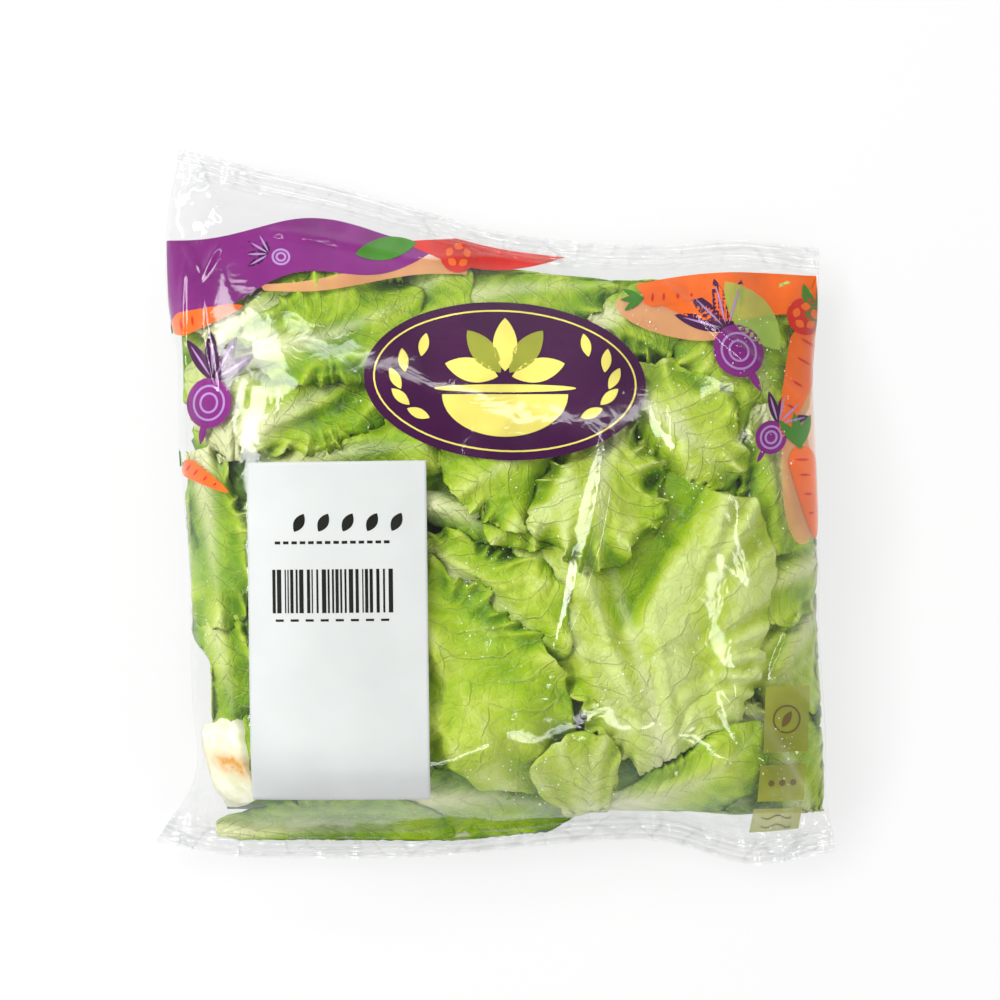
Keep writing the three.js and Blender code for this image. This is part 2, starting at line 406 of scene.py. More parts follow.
class NodeMaker:
    """Adds nodes to a material: make(kind, inputs, output, settings) gives an output socket."""

    def __init__(self, name):
        self.material = bpy.data.materials.new(name)
        self.material.use_nodes = True
        self.tree = self.material.node_tree
        self.tree.nodes.clear()

    def __call__(self, kind, inputs=None, output=0, **settings):
        node = self.tree.nodes.new("ShaderNode" + kind)
        for key, value in settings.items():
            setattr(node, key, value)
        for key, value in (inputs or {}).items():
            if isinstance(value, bpy.types.NodeSocket):
                self.tree.links.new(value, node.inputs[key])
            else:
                node.inputs[key].default_value = value
        return node.outputs[output]

    def math(self, operation, *values, clamp=False):
        return self("Math", dict(enumerate(values)), operation=operation, use_clamp=clamp)

    def line(self, distance, sharpness):
        """1 where a distance is 0, falling to 0 the sooner the sharper it is."""
        return self.math("SUBTRACT", 1.0, self.math("MULTIPLY", distance, sharpness), clamp=True)

    def bent(self, place, scale, detail, reach):
        """Places moved a little by noise, so that a pattern on them wanders."""
        noise = self("TexNoise", {"Vector": place, "Scale": scale, "Detail": detail}, output="Color")
        noise = self("VectorMath", {0: noise, 1: reach}, operation="MULTIPLY")
        return self("VectorMath", {0: place, 1: noise}, operation="ADD")

    def cell_edges(self, place, scale):
        """Distance to the nearest edge of random cells."""
        return self("TexVoronoi", {"Vector": place, "Scale": scale, "Randomness": 1.0},
                    output="Distance", feature="DISTANCE_TO_EDGE")

    def ramp(self, factor, stops):
        """A colour ramp. Each stop is a place and a colour."""
        node = self.tree.nodes.new("ShaderNodeValToRGB")
        self.tree.links.new(factor, node.inputs[0])
        set_stops(node, stops)
        return node.outputs[0]

    def mix_colour(self, factor, a, b, blend="MIX"):
        inputs = {"Factor": factor, "A": as_colour(a), "B": as_colour(b)}
        node = self.tree.nodes.new("ShaderNodeMix")
        node.data_type = "RGBA"
        node.blend_type = blend
        for key, value in inputs.items():
            sockets = [s for s in node.inputs if s.name == key and s.enabled]
            if isinstance(value, bpy.types.NodeSocket):
                self.tree.links.new(value, sockets[0])
            else:
                sockets[0].default_value = value
        return [s for s in node.outputs if s.enabled][0]

    def surface(self, shader):
        node = self.tree.nodes.new("ShaderNodeOutputMaterial")
        self.tree.links.new(shader, node.inputs["Surface"])
        return self.material


def set_stops(node, stops):
    """Gives a colour ramp its stops."""
    elements = node.color_ramp.elements
    while len(elements) < len(stops):
        elements.new(0.5)
    for element, (place, colour) in zip(elements, stops):
        element.position = place
        element.color = (*colour, 1)


def as_colour(value):
    """A socket or number as it is, and a colour with its alpha."""
    if isinstance(value, (bpy.types.NodeSocket, float)):
        return value
    return (*value, 1) if len(value) == 3 else value


def srgb(code):
    """Linear colour of a colour written as six hexadecimal digits."""
    parts = [int(code[i:i + 2], 16) / 255 for i in (0, 2, 4)]
    return tuple(c / 12.92 if c <= 0.04045 else ((c + 0.055) / 1.055) ** 2.4 for c in parts)


def film_material():
    """Thin clear film: see-through, with a mirror sheen, fine crinkles, hazier seals and painted shade
    as grey crinkle lines in the seals and crumpled stretches.
    """
    make = NodeMaker("clear_film")
    place = make("TexCoord", output="Object")
    crinkle = make("TexNoise", {"Vector": place, "Scale": 110, "Detail": 2, "Distortion": 1.0})
    bump = make("Bump", {"Strength": 0.2, "Distance": 0.001, "Height": crinkle}, output="Normal")
    seal = make("Attribute", attribute_name="haze", output="Fac")
    # Painted shade: grey lines along random cell edges darken the see-through colour in the seals and
    # crumpled stretches, standing in for the shading of their crinkles; fold_depth sets how dark they
    # are.
    crinkle_shade_line = make.line(make.cell_edges(make.bent(place, 40, 2, (0.03, 0.03, 0.0)), 75), 16.0)
    fold_depth = make.math("MULTIPLY_ADD", seal, 0.3, -0.02)
    crinkle_shade_share = make.math("MULTIPLY", crinkle_shade_line, fold_depth, clamp=True)
    tint = make.mix_colour(crinkle_shade_share, (0.985, 0.987, 0.986), (0.62, 0.63, 0.64))
    haze_share = make.math("MULTIPLY_ADD", seal, 0.16, 0.004, clamp=True)
    clear = make("BsdfTransparent", {"Color": tint})
    haze = make("BsdfDiffuse", {"Color": (0.68, 0.69, 0.69, 1)})
    body = make("MixShader", {0: haze_share, 1: clear, 2: haze})
    grazing = make.math("POWER", make("LayerWeight", {"Blend": 0.5}, output="Facing"), 4.0)
    mirror_share = make.math("MULTIPLY_ADD", grazing, 0.8, 0.045, clamp=True)
    gloss = make("BsdfAnisotropic", {"Color": (1, 1, 1, 1), "Roughness": 0.1, "Normal": bump})
    return make.surface(make("MixShader", {0: mirror_share, 1: body, 2: gloss}))


def leaf_material():
    """Fresh lettuce: green that turns pale at the rib, with raised paler veins and a wet sheen."""
    make = NodeMaker("lettuce_leaf")
    place = make("TexCoord", output="Object")
    uv = make("TexCoord", output="UV")
    split = make.tree.nodes.new("ShaderNodeSeparateXYZ")
    make.tree.links.new(uv, split.inputs[0])
    out = make.math("ABSOLUTE", make.math("MULTIPLY_ADD", split.outputs[0], 2.0, -1.0))
    swept = make.math("MULTIPLY", make.math("POWER", out, 0.8), VEIN_SWEEP)
    wander = make("TexNoise", {"Vector": place, "Scale": 42, "Detail": 3})
    phase = make.math("SUBTRACT", split.outputs[1], swept)
    phase = make.math("MULTIPLY_ADD", phase, float(VEIN_COUNT), make.math("MULTIPLY", wander, 2.0))
    away = make.math("ABSOLUTE", make.math("SUBTRACT", make.math("FRACT", phase), 0.5))
    vein = make.line(away, 16.0)
    groove = make.line(away, 60.0)
    winding = make.bent(place, 55, 3, (0.02, 0.02, 0.02))
    net = make.line(make.cell_edges(winding, 210), 9.0)
    branch = make.line(make.cell_edges(winding, 62), 45.0)
    rib = make("Attribute", attribute_name="pale", output="Fac")
    # Painted shade: besides each leaf's own tone, the tone attribute darkens the leaves' valleys, their
    # deeper places and the heap's middle.
    tone = make("Attribute", attribute_name="tone", output="Fac")
    patches = make("TexNoise", {"Vector": place, "Scale": 70, "Detail": 5, "Roughness": 0.55,
                                "Distortion": 0.7})
    tone_here = make.math("MULTIPLY_ADD", patches, 0.9, make.math("SUBTRACT", tone, 0.45))
    green = make.ramp(tone_here, [
        (0.0, srgb("cede88")), (0.25, srgb("b8cc48")), (0.5, srgb("9aba1c")), (0.75, srgb("6f9a0a")),
        (1.0, srgb("386206"))])
    vein_share = make.math("MULTIPLY", vein, make.math("MULTIPLY", wander, 0.5))
    lines = make.math("ADD", vein_share, make.math("MULTIPLY", net, 0.12), clamp=True)
    green = make.mix_colour(lines, green, srgb("ccd686"))
    green = make.mix_colour(rib, green, srgb("dadeaa"))
    dark_lines = make.math("MAXIMUM", make.math("MULTIPLY", branch, 0.6), groove)
    green = make.mix_colour(make.math("MULTIPLY", dark_lines, 0.15), green, srgb("4c7416"))
    height = make.math("MULTIPLY_ADD", net, -0.2, make.math("MULTIPLY", vein, 0.4))
    height = make.math("MULTIPLY_ADD", branch, -0.12, height)
    height = make.math("MULTIPLY_ADD", patches, 2.4, height)
    bump = make("Bump", {"Strength": 0.8, "Distance": 0.001, "Height": height}, output="Normal")
    skin = make("BsdfPrincipled", {
        "Base Color": green, "Roughness": 0.36, "Normal": bump, "Specular IOR Level": 0.16})
    return make.surface(skin)


def ink_material(name, code, alpha):
    """Printing ink on the inside of the film, a little uneven in its cover, with almost no sheen."""
    make = NodeMaker(name)
    place = make("TexCoord", output="Object")
    cloud = make("TexNoise", {"Vector": place, "Scale": 30, "Detail": 3})
    base = srgb(code)
    deep = tuple(c * 0.8 for c in base)
    light = tuple(min(c * 1.2 + 0.004, 1) for c in base)
    colour = make.ramp(cloud, [(0.35, deep), (0.65, light)])
    speck = make("TexNoise", {"Vector": place, "Scale": 800, "Detail": 1})
    bump = make("Bump", {"Strength": 0.1, "Distance": 0.0002, "Height": speck}, output="Normal")
    ink = make("BsdfPrincipled", {"Base Color": colour, "Roughness": 0.6, "Normal": bump,
                                  "Specular IOR Level": 0.02, "Alpha": alpha})
    return make.surface(ink)


def paper_material():
    """Smooth white label paper with faint fibres and shallow waves."""
    make = NodeMaker("label_paper")
    place = make("TexCoord", output="Object")
    fibre = make("TexNoise", {"Vector": place, "Scale": 900, "Detail": 3})
    wave = make("TexNoise", {"Vector": place, "Scale": 45, "Detail": 2})
    colour = make.ramp(wave, [(0.3, srgb("c6cac8")), (0.7, srgb("ccd0ce"))])
    height = make.math("MULTIPLY_ADD", fibre, 0.12, wave)
    bump = make("Bump", {"Strength": 0.25, "Distance": 0.0008, "Height": height}, output="Normal")
    paper = make("BsdfPrincipled", {"Base Color": colour, "Roughness": 0.5, "Normal": bump})
    return make.surface(paper)


def stem_material():
    """Pale cut stem, browned at the cut."""
    make = NodeMaker("stem")
    place = make("TexCoord", output="Object")
    brown = make("Attribute", attribute_name="pale", output="Fac")
    patches = make("TexNoise", {"Vector": place, "Scale": 260, "Detail": 4})
    share = make.math("MULTIPLY", brown, make.math("MULTIPLY_ADD", patches, 3.0, -0.8, clamp=True))
    flesh = make.ramp(patches, [(0.35, srgb("e6e6bc")), (0.6, srgb("f8f6e0"))])
    colour = make.mix_colour(share, flesh, srgb("dc9a16"))
    bump = make("Bump", {"Strength": 0.4, "Distance": 0.0006, "Height": patches}, output="Normal")
    flesh = make("BsdfPrincipled", {
        "Base Color": colour, "Roughness": 0.4, "Normal": bump, "Subsurface Weight": 0.3,
        "Subsurface Radius": (1.0, 1.0, 0.6), "Subsurface Scale": 0.002})
    return make.surface(flesh)


def droplet_material():
    """Beads of moisture on the inside of the film, their glints painted in: clear water drawn as opaque
    white and faintly green beads that catch the light.
    """
    make = NodeMaker("moisture")
    place = make("TexCoord", output="Object")
    cloud = make("TexNoise", {"Vector": place, "Scale": 90})
    colour = make.ramp(cloud, [(0.3, (0.85, 0.95, 0.75)), (0.7, (1.0, 1.0, 1.0))])
    bead = make("BsdfPrincipled", {"Base Color": colour, "Roughness": 0.3})
    return make.surface(bead)


# Film

def solid_heights(x, y, tree):
    """Heights of the front and the back of a solid at places in plan."""
    front = np.zeros(x.size)
    back = np.zeros(x.size)
    for i, (px, py) in enumerate(zip(x.ravel() * MM, y.ravel() * MM)):
        above = tree.ray_cast(Vector((px, py, 1)), Vector((0, 0, -1)))[0]
        below = tree.ray_cast(Vector((px, py, -1)), Vector((0, 0, 1)))[0]
        if above is None or below is None:
            above = below = tree.find_nearest(Vector((px, py, 0.012)))[0]
        front[i], back[i] = above.z / MM, below.z / MM
    return front.reshape(x.shape), back.reshape(x.shape)


def film_shares():
    """Shares across and up the pack of the film's points, row by row from the bottom end."""
    across = np.linspace(0, 1, FILM_COLUMNS + 1)
    across = across - FILM_BUNCHING * np.sin(2 * np.pi * across) / (2 * np.pi)
    length = length_at(across)[None, :]
    low = np.linspace(0, 1, FILM_SEAL_ROWS, endpoint=False)[:, None] * SEAL_DEPTH / length
    share = np.linspace(0, 1, FILM_BODY_ROWS + 1)[:, None]
    body = (SEAL_DEPTH + share * (length - 2 * SEAL_DEPTH)) / length
    up = np.vstack([low, body, 1 - low[::-1]])
    return np.broadcast_to(across, up.shape), up


def cut_teeth(x, y, up):
    """Zigzag of the cut ends, which runs out within the first rows."""
    phase = np.abs((x / CUT_TOOTH_PITCH) % 1 - 0.5) * 2
    near = np.where(up < 0.5, bell(up, 0.004), bell(1 - up, 0.004))
    return y + np.where(up < 0.5, 1, -1) * CUT_TOOTH_DEPTH * phase * near


def film_start():
    """The film before it wrinkles: both sheets on the solid, joined at their rim."""
    across, up = film_shares()
    rows, columns = up.shape
    x, y = plan_point(across, up)
    tree = BVHTree.FromObject(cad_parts["bag"], bpy.context.evaluated_depsgraph_get())
    front, back = solid_heights(x, y, tree)
    rim = np.zeros(up.shape, bool)
    rim[[0, -1], :] = True
    rim[:, [0, -1]] = True
    middle = (front + back) / 2
    heights = [np.where(rim, middle, front), np.where(rim, middle, back)]

    run = np.hypot(np.diff(y, axis=0), np.diff((front + back) / 2, axis=0))
    rise = np.hypot(np.diff(y, axis=0), np.diff(front, axis=0))
    lengths = np.vstack([np.zeros(columns), np.cumsum((run + rise) / 2, axis=0)])
    flat_x = (across - 0.5) * FLAT_WIDTH
    flat_y = lengths * LENGTH_SLACK

    bm = bmesh.new()
    flat = bm.verts.layers.float_vector.new("flat")
    from_bottom = bm.verts.layers.float.new("from_bottom")
    from_top = bm.verts.layers.float.new("from_top")
    uv = bm.loops.layers.uv.new("sheet")
    facing = add_two_sheets(bm, columns - 1, rows - 1)
    for v in bm.verts:
        column = round((v.co.x + 0.5) * (columns - 1))
        row = round((v.co.y + 0.5) * (rows - 1))
        side = 0 if v[facing] > 0 else 1
        length = length_at(across[row, column])
        v[flat] = (flat_x[row, column], flat_y[row, column], 0)
        v[from_bottom] = up[row, column] * length
        v[from_top] = (1 - up[row, column]) * length
        v.co = (x[row, column], y[row, column], heights[side][row, column])
        if rim[row, column]:
            v[facing] = 0
    for face in bm.faces:
        for loop in face.loops:
            loop[uv].uv = (loop.vert[flat].x / FLAT_WIDTH + 0.5, loop.vert[flat].y / FLAT_WIDTH)
    bmesh.ops.remove_doubles(bm, verts=bm.verts, dist=0.001)
    return mesh_from(bm, "film_start")


def wrinkled(mesh):
    """Points of the film after a cloth simulation that lets its slack find its own wrinkles."""
    start = mesh_points(mesh)
    cloth_mesh = mesh.copy()
    thing = add_object("film_cloth", cloth_mesh)
    thing.shape_key_add(name="filled")
    flat_key = thing.shape_key_add(name="flat")
    flat = np.zeros(len(mesh.vertices) * 3, np.float32)
    mesh.attributes["flat"].data.foreach_get("vector", flat)
    scale = MM * SIM_SCALE
    points = np.asarray(start * scale, np.float32).ravel()
    thing.data.shape_keys.key_blocks["filled"].data.foreach_set("co", points)
    thing.data.vertices.foreach_set("co", points)
    flat_key.data.foreach_set("co", flat * scale)
    from_end = np.minimum(attribute_of(mesh, "from_bottom"), attribute_of(mesh, "from_top"))
    held = thing.vertex_groups.new(name="seals")
    held.add([int(i) for i in np.nonzero(from_end < SEAL_DEPTH - 0.1)[0]], 1.0, "REPLACE")
    modifier = thing.modifiers.new("cloth", "CLOTH")
    settings = modifier.settings
    settings.quality = 6
    settings.mass = 0.3
    settings.tension_stiffness = settings.compression_stiffness = 40
    settings.shear_stiffness = 20
    settings.bending_stiffness = 0.012
    settings.tension_damping = settings.compression_damping = settings.shear_damping = 5
    settings.bending_damping = 0.5
    settings.air_damping = 2
    settings.rest_shape_key = flat_key
    settings.vertex_group_mass = "seals"
    settings.pin_stiffness = 10
    settings.use_pressure = True
    settings.uniform_pressure_force = 1.2
    settings.effector_weights.gravity = 0
    modifier.collision_settings.use_collision = False
    modifier.collision_settings.use_self_collision = False
    for number in range(1, SIM_FRAMES + 1):
        bpy.context.scene.frame_set(number)
    moved = mesh_points(with_modifiers(thing)) / scale - start
    bpy.data.objects.remove(thing)
    bpy.context.scene.frame_set(1)
    far = np.linalg.norm(moved, axis=1, keepdims=True)
    return start + moved * SIM_REACH * np.tanh(far / SIM_REACH) / np.maximum(far, 1e-9)


def crease_height(x, y):
    """Height of the sharp creases at places in plan."""
    total = np.zeros_like(x)
    for crease in CREASES:
        ends = [from_pixel(*crease[key]) for key in ("start", "bend", "end")]
        share = np.linspace(0, 1, 60)
        line, run = curve_through(*ends, share)
        gap_x, gap_y = x[:, None] - line[None, :, 0], y[:, None] - line[None, :, 1]
        nearest = np.hypot(gap_x, gap_y).argmin(axis=1)
        at = np.arange(len(x)), nearest
        away = np.hypot(gap_x[at], gap_y[at])
        turn = run[nearest, 1] * gap_x[at] - run[nearest, 0] * gap_y[at]
        long_side = turn * crease["width"] > 0
        width = abs(crease["width"]) * np.sin(np.pi * np.clip(share[nearest], 0.03, 0.97)) ** 0.6
        reach = width * np.where(long_side, 1, SHORT_SIDE_SHARE)
        power = np.where(long_side, LONG_SIDE_POWER, SHORT_SIDE_POWER)
        ridge = np.maximum(1 - away / reach, 0) ** power
        total += CREASE_SLOPE * width * ridge
    return total


def near_crumple(x, y, crumple, share=1.0):
    """1 in the middle of a crumpled stretch, falling to 0 past a share of its reach."""
    cx, cy = from_pixel(*crumple["middle"])
    return bell(np.hypot(x - cx, y - cy), share * crumple["reach"])


def crumple_height(x, y):
    """Height of the sharp random folds in the crumpled stretches."""
    total = np.zeros_like(x)
    for i, crumple in enumerate(CRUMPLES):
        folds = 1 - 2 * np.abs(value_noise(x, y, 6.5, 40 + i)) + 0.5 * value_noise(x, y, 3, 60 + i)
        total += crumple["height"] * near_crumple(x, y, crumple) * (folds + 0.5)
    return total


def seal_haze(x, y, in_seal, from_end):
    """How hazy the film is: along the crimped lines of its seals, and where it is crumpled. The same
    values set how dark the film's painted crinkle shade is.
    """
    lines = 0.5 + 0.5 * np.cos(2 * np.pi * from_end / CRIMP_PITCH)
    crumpled = np.zeros_like(x)
    for crumple in CRUMPLES:
        crumpled += 0.4 * crumple["height"] * near_crumple(x, y, crumple, 0.6)
    return np.clip(in_seal * (0.35 + 0.65 * lines) + crumpled, 0, 1.2)


def build_film():
    """The film as one closed shell: wrinkled sheets, crimped seals, creases and cut ends."""
    mesh = film_start()
    start = mesh_points(mesh)
    moved = wrinkled(mesh) - start
    in_front = attribute_of(mesh, "facing") > 0
    share = np.where(in_front, clear_of_label(start[:, 0], start[:, 1]), 1)
    beside = in_front & (share > 0.2) & (share < 0.95)
    lift = np.median(moved[beside, 2])
    moved = moved * share[:, None]
    moved[:, 2] += lift * (1 - share)
    set_mesh_points(mesh, start + moved)
    coarse = add_object("film_coarse", mesh)
    rounding = coarse.modifiers.new("rounding", "SUBSURF")
    rounding.levels = rounding.render_levels = 1
    fine = with_modifiers(coarse)
    bpy.data.objects.remove(coarse)

    points = mesh_points(fine)
    x, y = points[:, 0].copy(), points[:, 1].copy()
    from_bottom = attribute_of(fine, "from_bottom")
    from_top = attribute_of(fine, "from_top")
    facing = attribute_of(fine, "facing")
    from_end = np.minimum(from_bottom, from_top)
    in_seal = smooth(from_end / 1.2) * smooth((SEAL_DEPTH - from_end) / 1.5)
    crimp = CRIMP_HEIGHT * in_seal * np.cos(2 * np.pi * from_end / CRIMP_PITCH)
    open_front = clear_of_label(x, y)
    front_relief = crease_height(x, y) * np.maximum(facing, 0) * open_front
    crumples = crumple_height(x, y) * np.where(facing > 0, open_front, 1)
    both = bell(np.maximum(from_end - SEAL_DEPTH, 0), 12)
    points[:, 2] += crimp + front_relief + crumples * np.where(facing < 0, both, 1)
    points[:, 2] = np.maximum(points[:, 2], FILM_LIFT + 0.25 * facing)
    length = from_bottom + from_top
    points[:, 1] = cut_teeth(points[:, 0], points[:, 1], from_bottom / length)
    set_mesh_points(fine, points * MM)
    add_attribute(fine, "haze", seal_haze(x, y, in_seal, from_end))
    film = add_object("film", fine, film_material())
    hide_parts("bag")
    return finish_piece(film)


# Height maps of the space inside the film

class HeightMap:
    """Heights over an even grid of places in plan."""

    low_x, low_y = -124.0, -130.0
    columns, rows = 249, 261

    def __init__(self, values):
        self.values = values

    @classmethod
    def places(cls):
        x = cls.low_x + MAP_STEP * np.arange(cls.columns)
        y = cls.low_y + MAP_STEP * np.arange(cls.rows)
        return np.meshgrid(x, y)

    def at(self, x, y):
        gx = np.clip((x - self.low_x) / MAP_STEP, 0, self.columns - 1.001)
        gy = np.clip((y - self.low_y) / MAP_STEP, 0, self.rows - 1.001)
        i, j = gx.astype(int), gy.astype(int)
        fx, fy = gx - i, gy - j
        v = self.values
        low = v[j, i] * (1 - fx) + v[j, i + 1] * fx
        high = v[j + 1, i] * (1 - fx) + v[j + 1, i + 1] * fx
        return low * (1 - fy) + high * fy

    def lower_to(self, x, y, z):
        """Lowers the map to the heights of the points over each of its places."""
        i = np.clip(np.round((x - self.low_x) / MAP_STEP).astype(int), 0, self.columns - 1)
        j = np.clip(np.round((y - self.low_y) / MAP_STEP).astype(int), 0, self.rows - 1)
        np.minimum.at(self.values, (j, i), z)

    def blurred(self, reach):
        """A smoother copy, from box averages over reach millimetres each way."""
        half = int(round(reach / MAP_STEP))
        values = self.values
        for axis in (0, 1, 0, 1):
            padded = np.pad(values, [(half, half) if a == axis else (0, 0) for a in (0, 1)], "edge")
            total = np.cumsum(padded, axis=axis)
            size = values.shape[axis]
            ahead = np.take(total, range(2 * half, 2 * half + size), axis=axis)
            behind = np.concatenate([
                np.zeros_like(np.take(total, [0], axis=axis)),
                np.take(total, range(size - 1), axis=axis)], axis=axis)
            values = (ahead - behind) / (2 * half + 1)
        return HeightMap(values)

    def copy(self):
        return HeightMap(self.values.copy())


def film_maps(film):
    """Height maps of the film's front and back, and the tree that they were read from."""
    tree = BVHTree.FromObject(film, bpy.context.evaluated_depsgraph_get())
    x, y = HeightMap.places()
    front, back = solid_heights(x, y, tree)
    return HeightMap(front), HeightMap(back), tree


# Leaves

# Each leaf's rib runs from its base past its bend to its tip, in pixels. Its width each side,
# its depth under the film, and its ruffle and wave are in millimetres, and its tone runs from
# 0, pale, to 1, dark. Where they are given, lean makes one side wider, lobe and corner shape
# the margin, taper narrows the base, roll arches the leaf, fold sinks a valley into it, and
# pale whitens it. The first leaves lie on top.
LEAVES = [
    # On top, pressed against the film
    {"name": "flap", "base": (600, 850), "bend": (584, 804), "tip": (592, 744), "width": 15,
     "tone": 0.3, "depth": 0.0, "ruffle": 2.4, "wave": 2.2, "lobe": 0.5},
    {"name": "low_fold", "base": (606, 806), "bend": (700, 800), "tip": (758, 722), "width": 14,
     "tone": 0.56, "depth": 0.5, "ruffle": 0.9, "wave": 2.0, "roll": 6},
    {"name": "centre_ruffle", "base": (612, 404), "bend": (590, 490), "tip": (604, 568), "width": 24,
     "tone": 0.3, "depth": 0.0, "ruffle": 6.0, "wave": 5.0},
    {"name": "under_badge", "base": (606, 404), "bend": (520, 452), "tip": (452, 500), "width": 23,
     "tone": 0.5, "depth": 0.4, "ruffle": 3.6, "wave": 3.4},
    {"name": "under_badge_lobe", "base": (566, 456), "bend": (530, 500), "tip": (494, 540), "width": 13,
     "tone": 0.42, "depth": 0.8, "ruffle": 3.6, "wave": 2.6},
    {"name": "broad_left", "base": (366, 560), "bend": (436, 636), "tip": (552, 776), "width": 28,
     "tone": 0.42, "depth": 0.4, "ruffle": 1.8, "wave": 3.6, "pale": -0.4, "corner": 0.2,
     "lobe": 0.12},
    {"name": "left_upper", "base": (396, 548), "bend": (480, 572), "tip": (562, 656), "width": 19,
     "tone": 0.5, "depth": 0.6, "ruffle": 2.8, "wave": 3.4},
    {"name": "broad_middle", "base": (668, 778), "bend": (650, 690), "tip": (580, 478), "width": 44,
     "tone": 0.14, "depth": 0.8, "ruffle": 2.0, "wave": 3.0, "lean": -0.22, "lobe": 0.08,
     "corner": 0.17, "taper": 1.3,
     "fold": {"start": (700, 492), "end": (628, 612), "height": 8.0, "width": 9}},
    {"name": "light_corner", "base": (616, 392), "bend": (676, 418), "tip": (732, 484), "width": 22,
     "tone": 0.34, "depth": 1.0, "ruffle": 3.0, "wave": 3.6},
    {"name": "curled", "base": (414, 500), "bend": (480, 508), "tip": (590, 578), "width": 12,
     "tone": 0.8, "depth": 1.0, "ruffle": 0.6, "wave": 1.4, "roll": 7},
    {"name": "low_ruffle", "base": (776, 730), "bend": (715, 696), "tip": (660, 726), "width": 12,
     "tone": 0.4, "depth": 1.0, "ruffle": 3.6, "wave": 2.4},
    # Right side
    {"name": "right_high", "base": (766, 404), "bend": (778, 480), "tip": (788, 556), "width": 19,
     "tone": 0.48, "depth": 2.0, "ruffle": 2.4, "wave": 2.8},
    {"name": "right_middle", "base": (832, 556), "bend": (790, 575), "tip": (736, 600), "width": 18,
     "tone": 0.36, "depth": 2.5, "ruffle": 2.8, "wave": 2.4},
    {"name": "right_low", "base": (832, 590), "bend": (792, 640), "tip": (766, 710), "width": 20,
     "tone": 0.4, "depth": 3.5, "ruffle": 2.8, "wave": 2.4},
    {"name": "right_bottom", "base": (812, 836), "bend": (792, 780), "tip": (770, 700), "width": 20,
     "tone": 0.45, "depth": 1.5, "ruffle": 2.4, "wave": 2.6},
    {"name": "right_top", "base": (700, 270), "bend": (750, 330), "tip": (780, 440), "width": 28,
     "tone": 0.5, "depth": 1.5, "ruffle": 2.8, "wave": 3.2},
    # Bottom
    {"name": "bottom_left", "base": (206, 840), "bend": (330, 816), "tip": (456, 838), "width": 15,
     "tone": 0.76, "depth": 1.0, "ruffle": 1.8, "wave": 2.4},
    {"name": "bottom_middle", "base": (400, 800), "bend": (500, 786), "tip": (596, 816), "width": 18,
     "tone": 0.74, "depth": 1.5, "ruffle": 2.0, "wave": 2.8},
    {"name": "bottom_strip", "base": (406, 844), "bend": (490, 832), "tip": (590, 810), "width": 13,
     "tone": 0.78, "depth": 1.2, "ruffle": 1.8, "wave": 2.2},
    {"name": "bottom_right", "base": (630, 812), "bend": (700, 796), "tip": (786, 800), "width": 14,
     "tone": 0.72, "depth": 1.6, "ruffle": 1.8, "wave": 2.4},
    # Left of the label
    {"name": "side_high", "base": (200, 450), "bend": (214, 530), "tip": (222, 624), "width": 18,
     "tone": 0.6, "depth": 1.0, "ruffle": 4.0, "wave": 4.0},
    {"name": "side_middle", "base": (200, 560), "bend": (222, 640), "tip": (240, 728), "width": 17,
     "tone": 0.55, "depth": 1.6, "ruffle": 3.6, "wave": 4.0},
    {"name": "side_low", "base": (246, 640), "bend": (240, 690), "tip": (240, 752), "width": 15,
     "tone": 0.7, "depth": 3.0, "ruffle": 2.8, "wave": 3.0},
    # Top left and top
    {"name": "top_bright", "base": (256, 350), "bend": (330, 345), "tip": (420, 296), "width": 20,
     "tone": 0.62, "depth": 0.4, "ruffle": 3.4, "wave": 4.0},
    {"name": "left_ruffle", "base": (240, 440), "bend": (320, 404), "tip": (396, 340), "width": 22,
     "tone": 0.45, "depth": 0.6, "ruffle": 4.6, "wave": 4.2},
    {"name": "above_label", "base": (262, 480), "bend": (350, 436), "tip": (456, 452), "width": 18,
     "tone": 0.5, "depth": 0.8, "ruffle": 4.0, "wave": 3.8},
    {"name": "top_left", "base": (206, 340), "bend": (290, 284), "tip": (410, 276), "width": 20,
     "tone": 0.66, "depth": 1.2, "ruffle": 2.8, "wave": 3.6},
    {"name": "pale_left", "base": (232, 462), "bend": (222, 400), "tip": (236, 330), "width": 16,
     "tone": 0.2, "depth": 1.6, "ruffle": 2.0, "wave": 2.8, "pale": 0.5},
    {"name": "top_gap", "base": (352, 330), "bend": (412, 290), "tip": (474, 262), "width": 18,
     "tone": 0.6, "depth": 2.4, "ruffle": 2.4, "wave": 2.8},
    {"name": "top_middle", "base": (404, 318), "bend": (500, 278), "tip": (622, 286), "width": 18,
     "tone": 0.68, "depth": 1.6, "ruffle": 3.6, "wave": 3.6},
    {"name": "top_right", "base": (590, 324), "bend": (650, 292), "tip": (712, 330), "width": 22,
     "tone": 0.55, "depth": 2.0, "ruffle": 3.2, "wave": 3.6},
    {"name": "beside_badge", "base": (634, 330), "bend": (684, 380), "tip": (700, 462), "width": 22,
     "tone": 0.46, "depth": 1.4, "ruffle": 3.4, "wave": 4.0},
]


def leaf_grid(length, width, step):
    """A flat grid for a leaf, fine enough for its margin."""
    along = max(int(length / step), 16)
    aside = max(int(2 * width / step), 12)
    bm = bmesh.new()
    bmesh.ops.create_grid(bm, x_segments=aside, y_segments=along, size=0.5)
    return bm


def leaf_shares(mesh):
    """Shares p up the rib and q out from it of a leaf's grid, crowded towards its margin."""
    grid = mesh_points(mesh)
    q = np.sin(0.75 * np.pi * grid[:, 0]) / math.sin(0.375 * math.pi)
    p = np.sin(0.36 * np.pi * (grid[:, 1] + 0.5)) / math.sin(0.36 * math.pi)
    return p, q


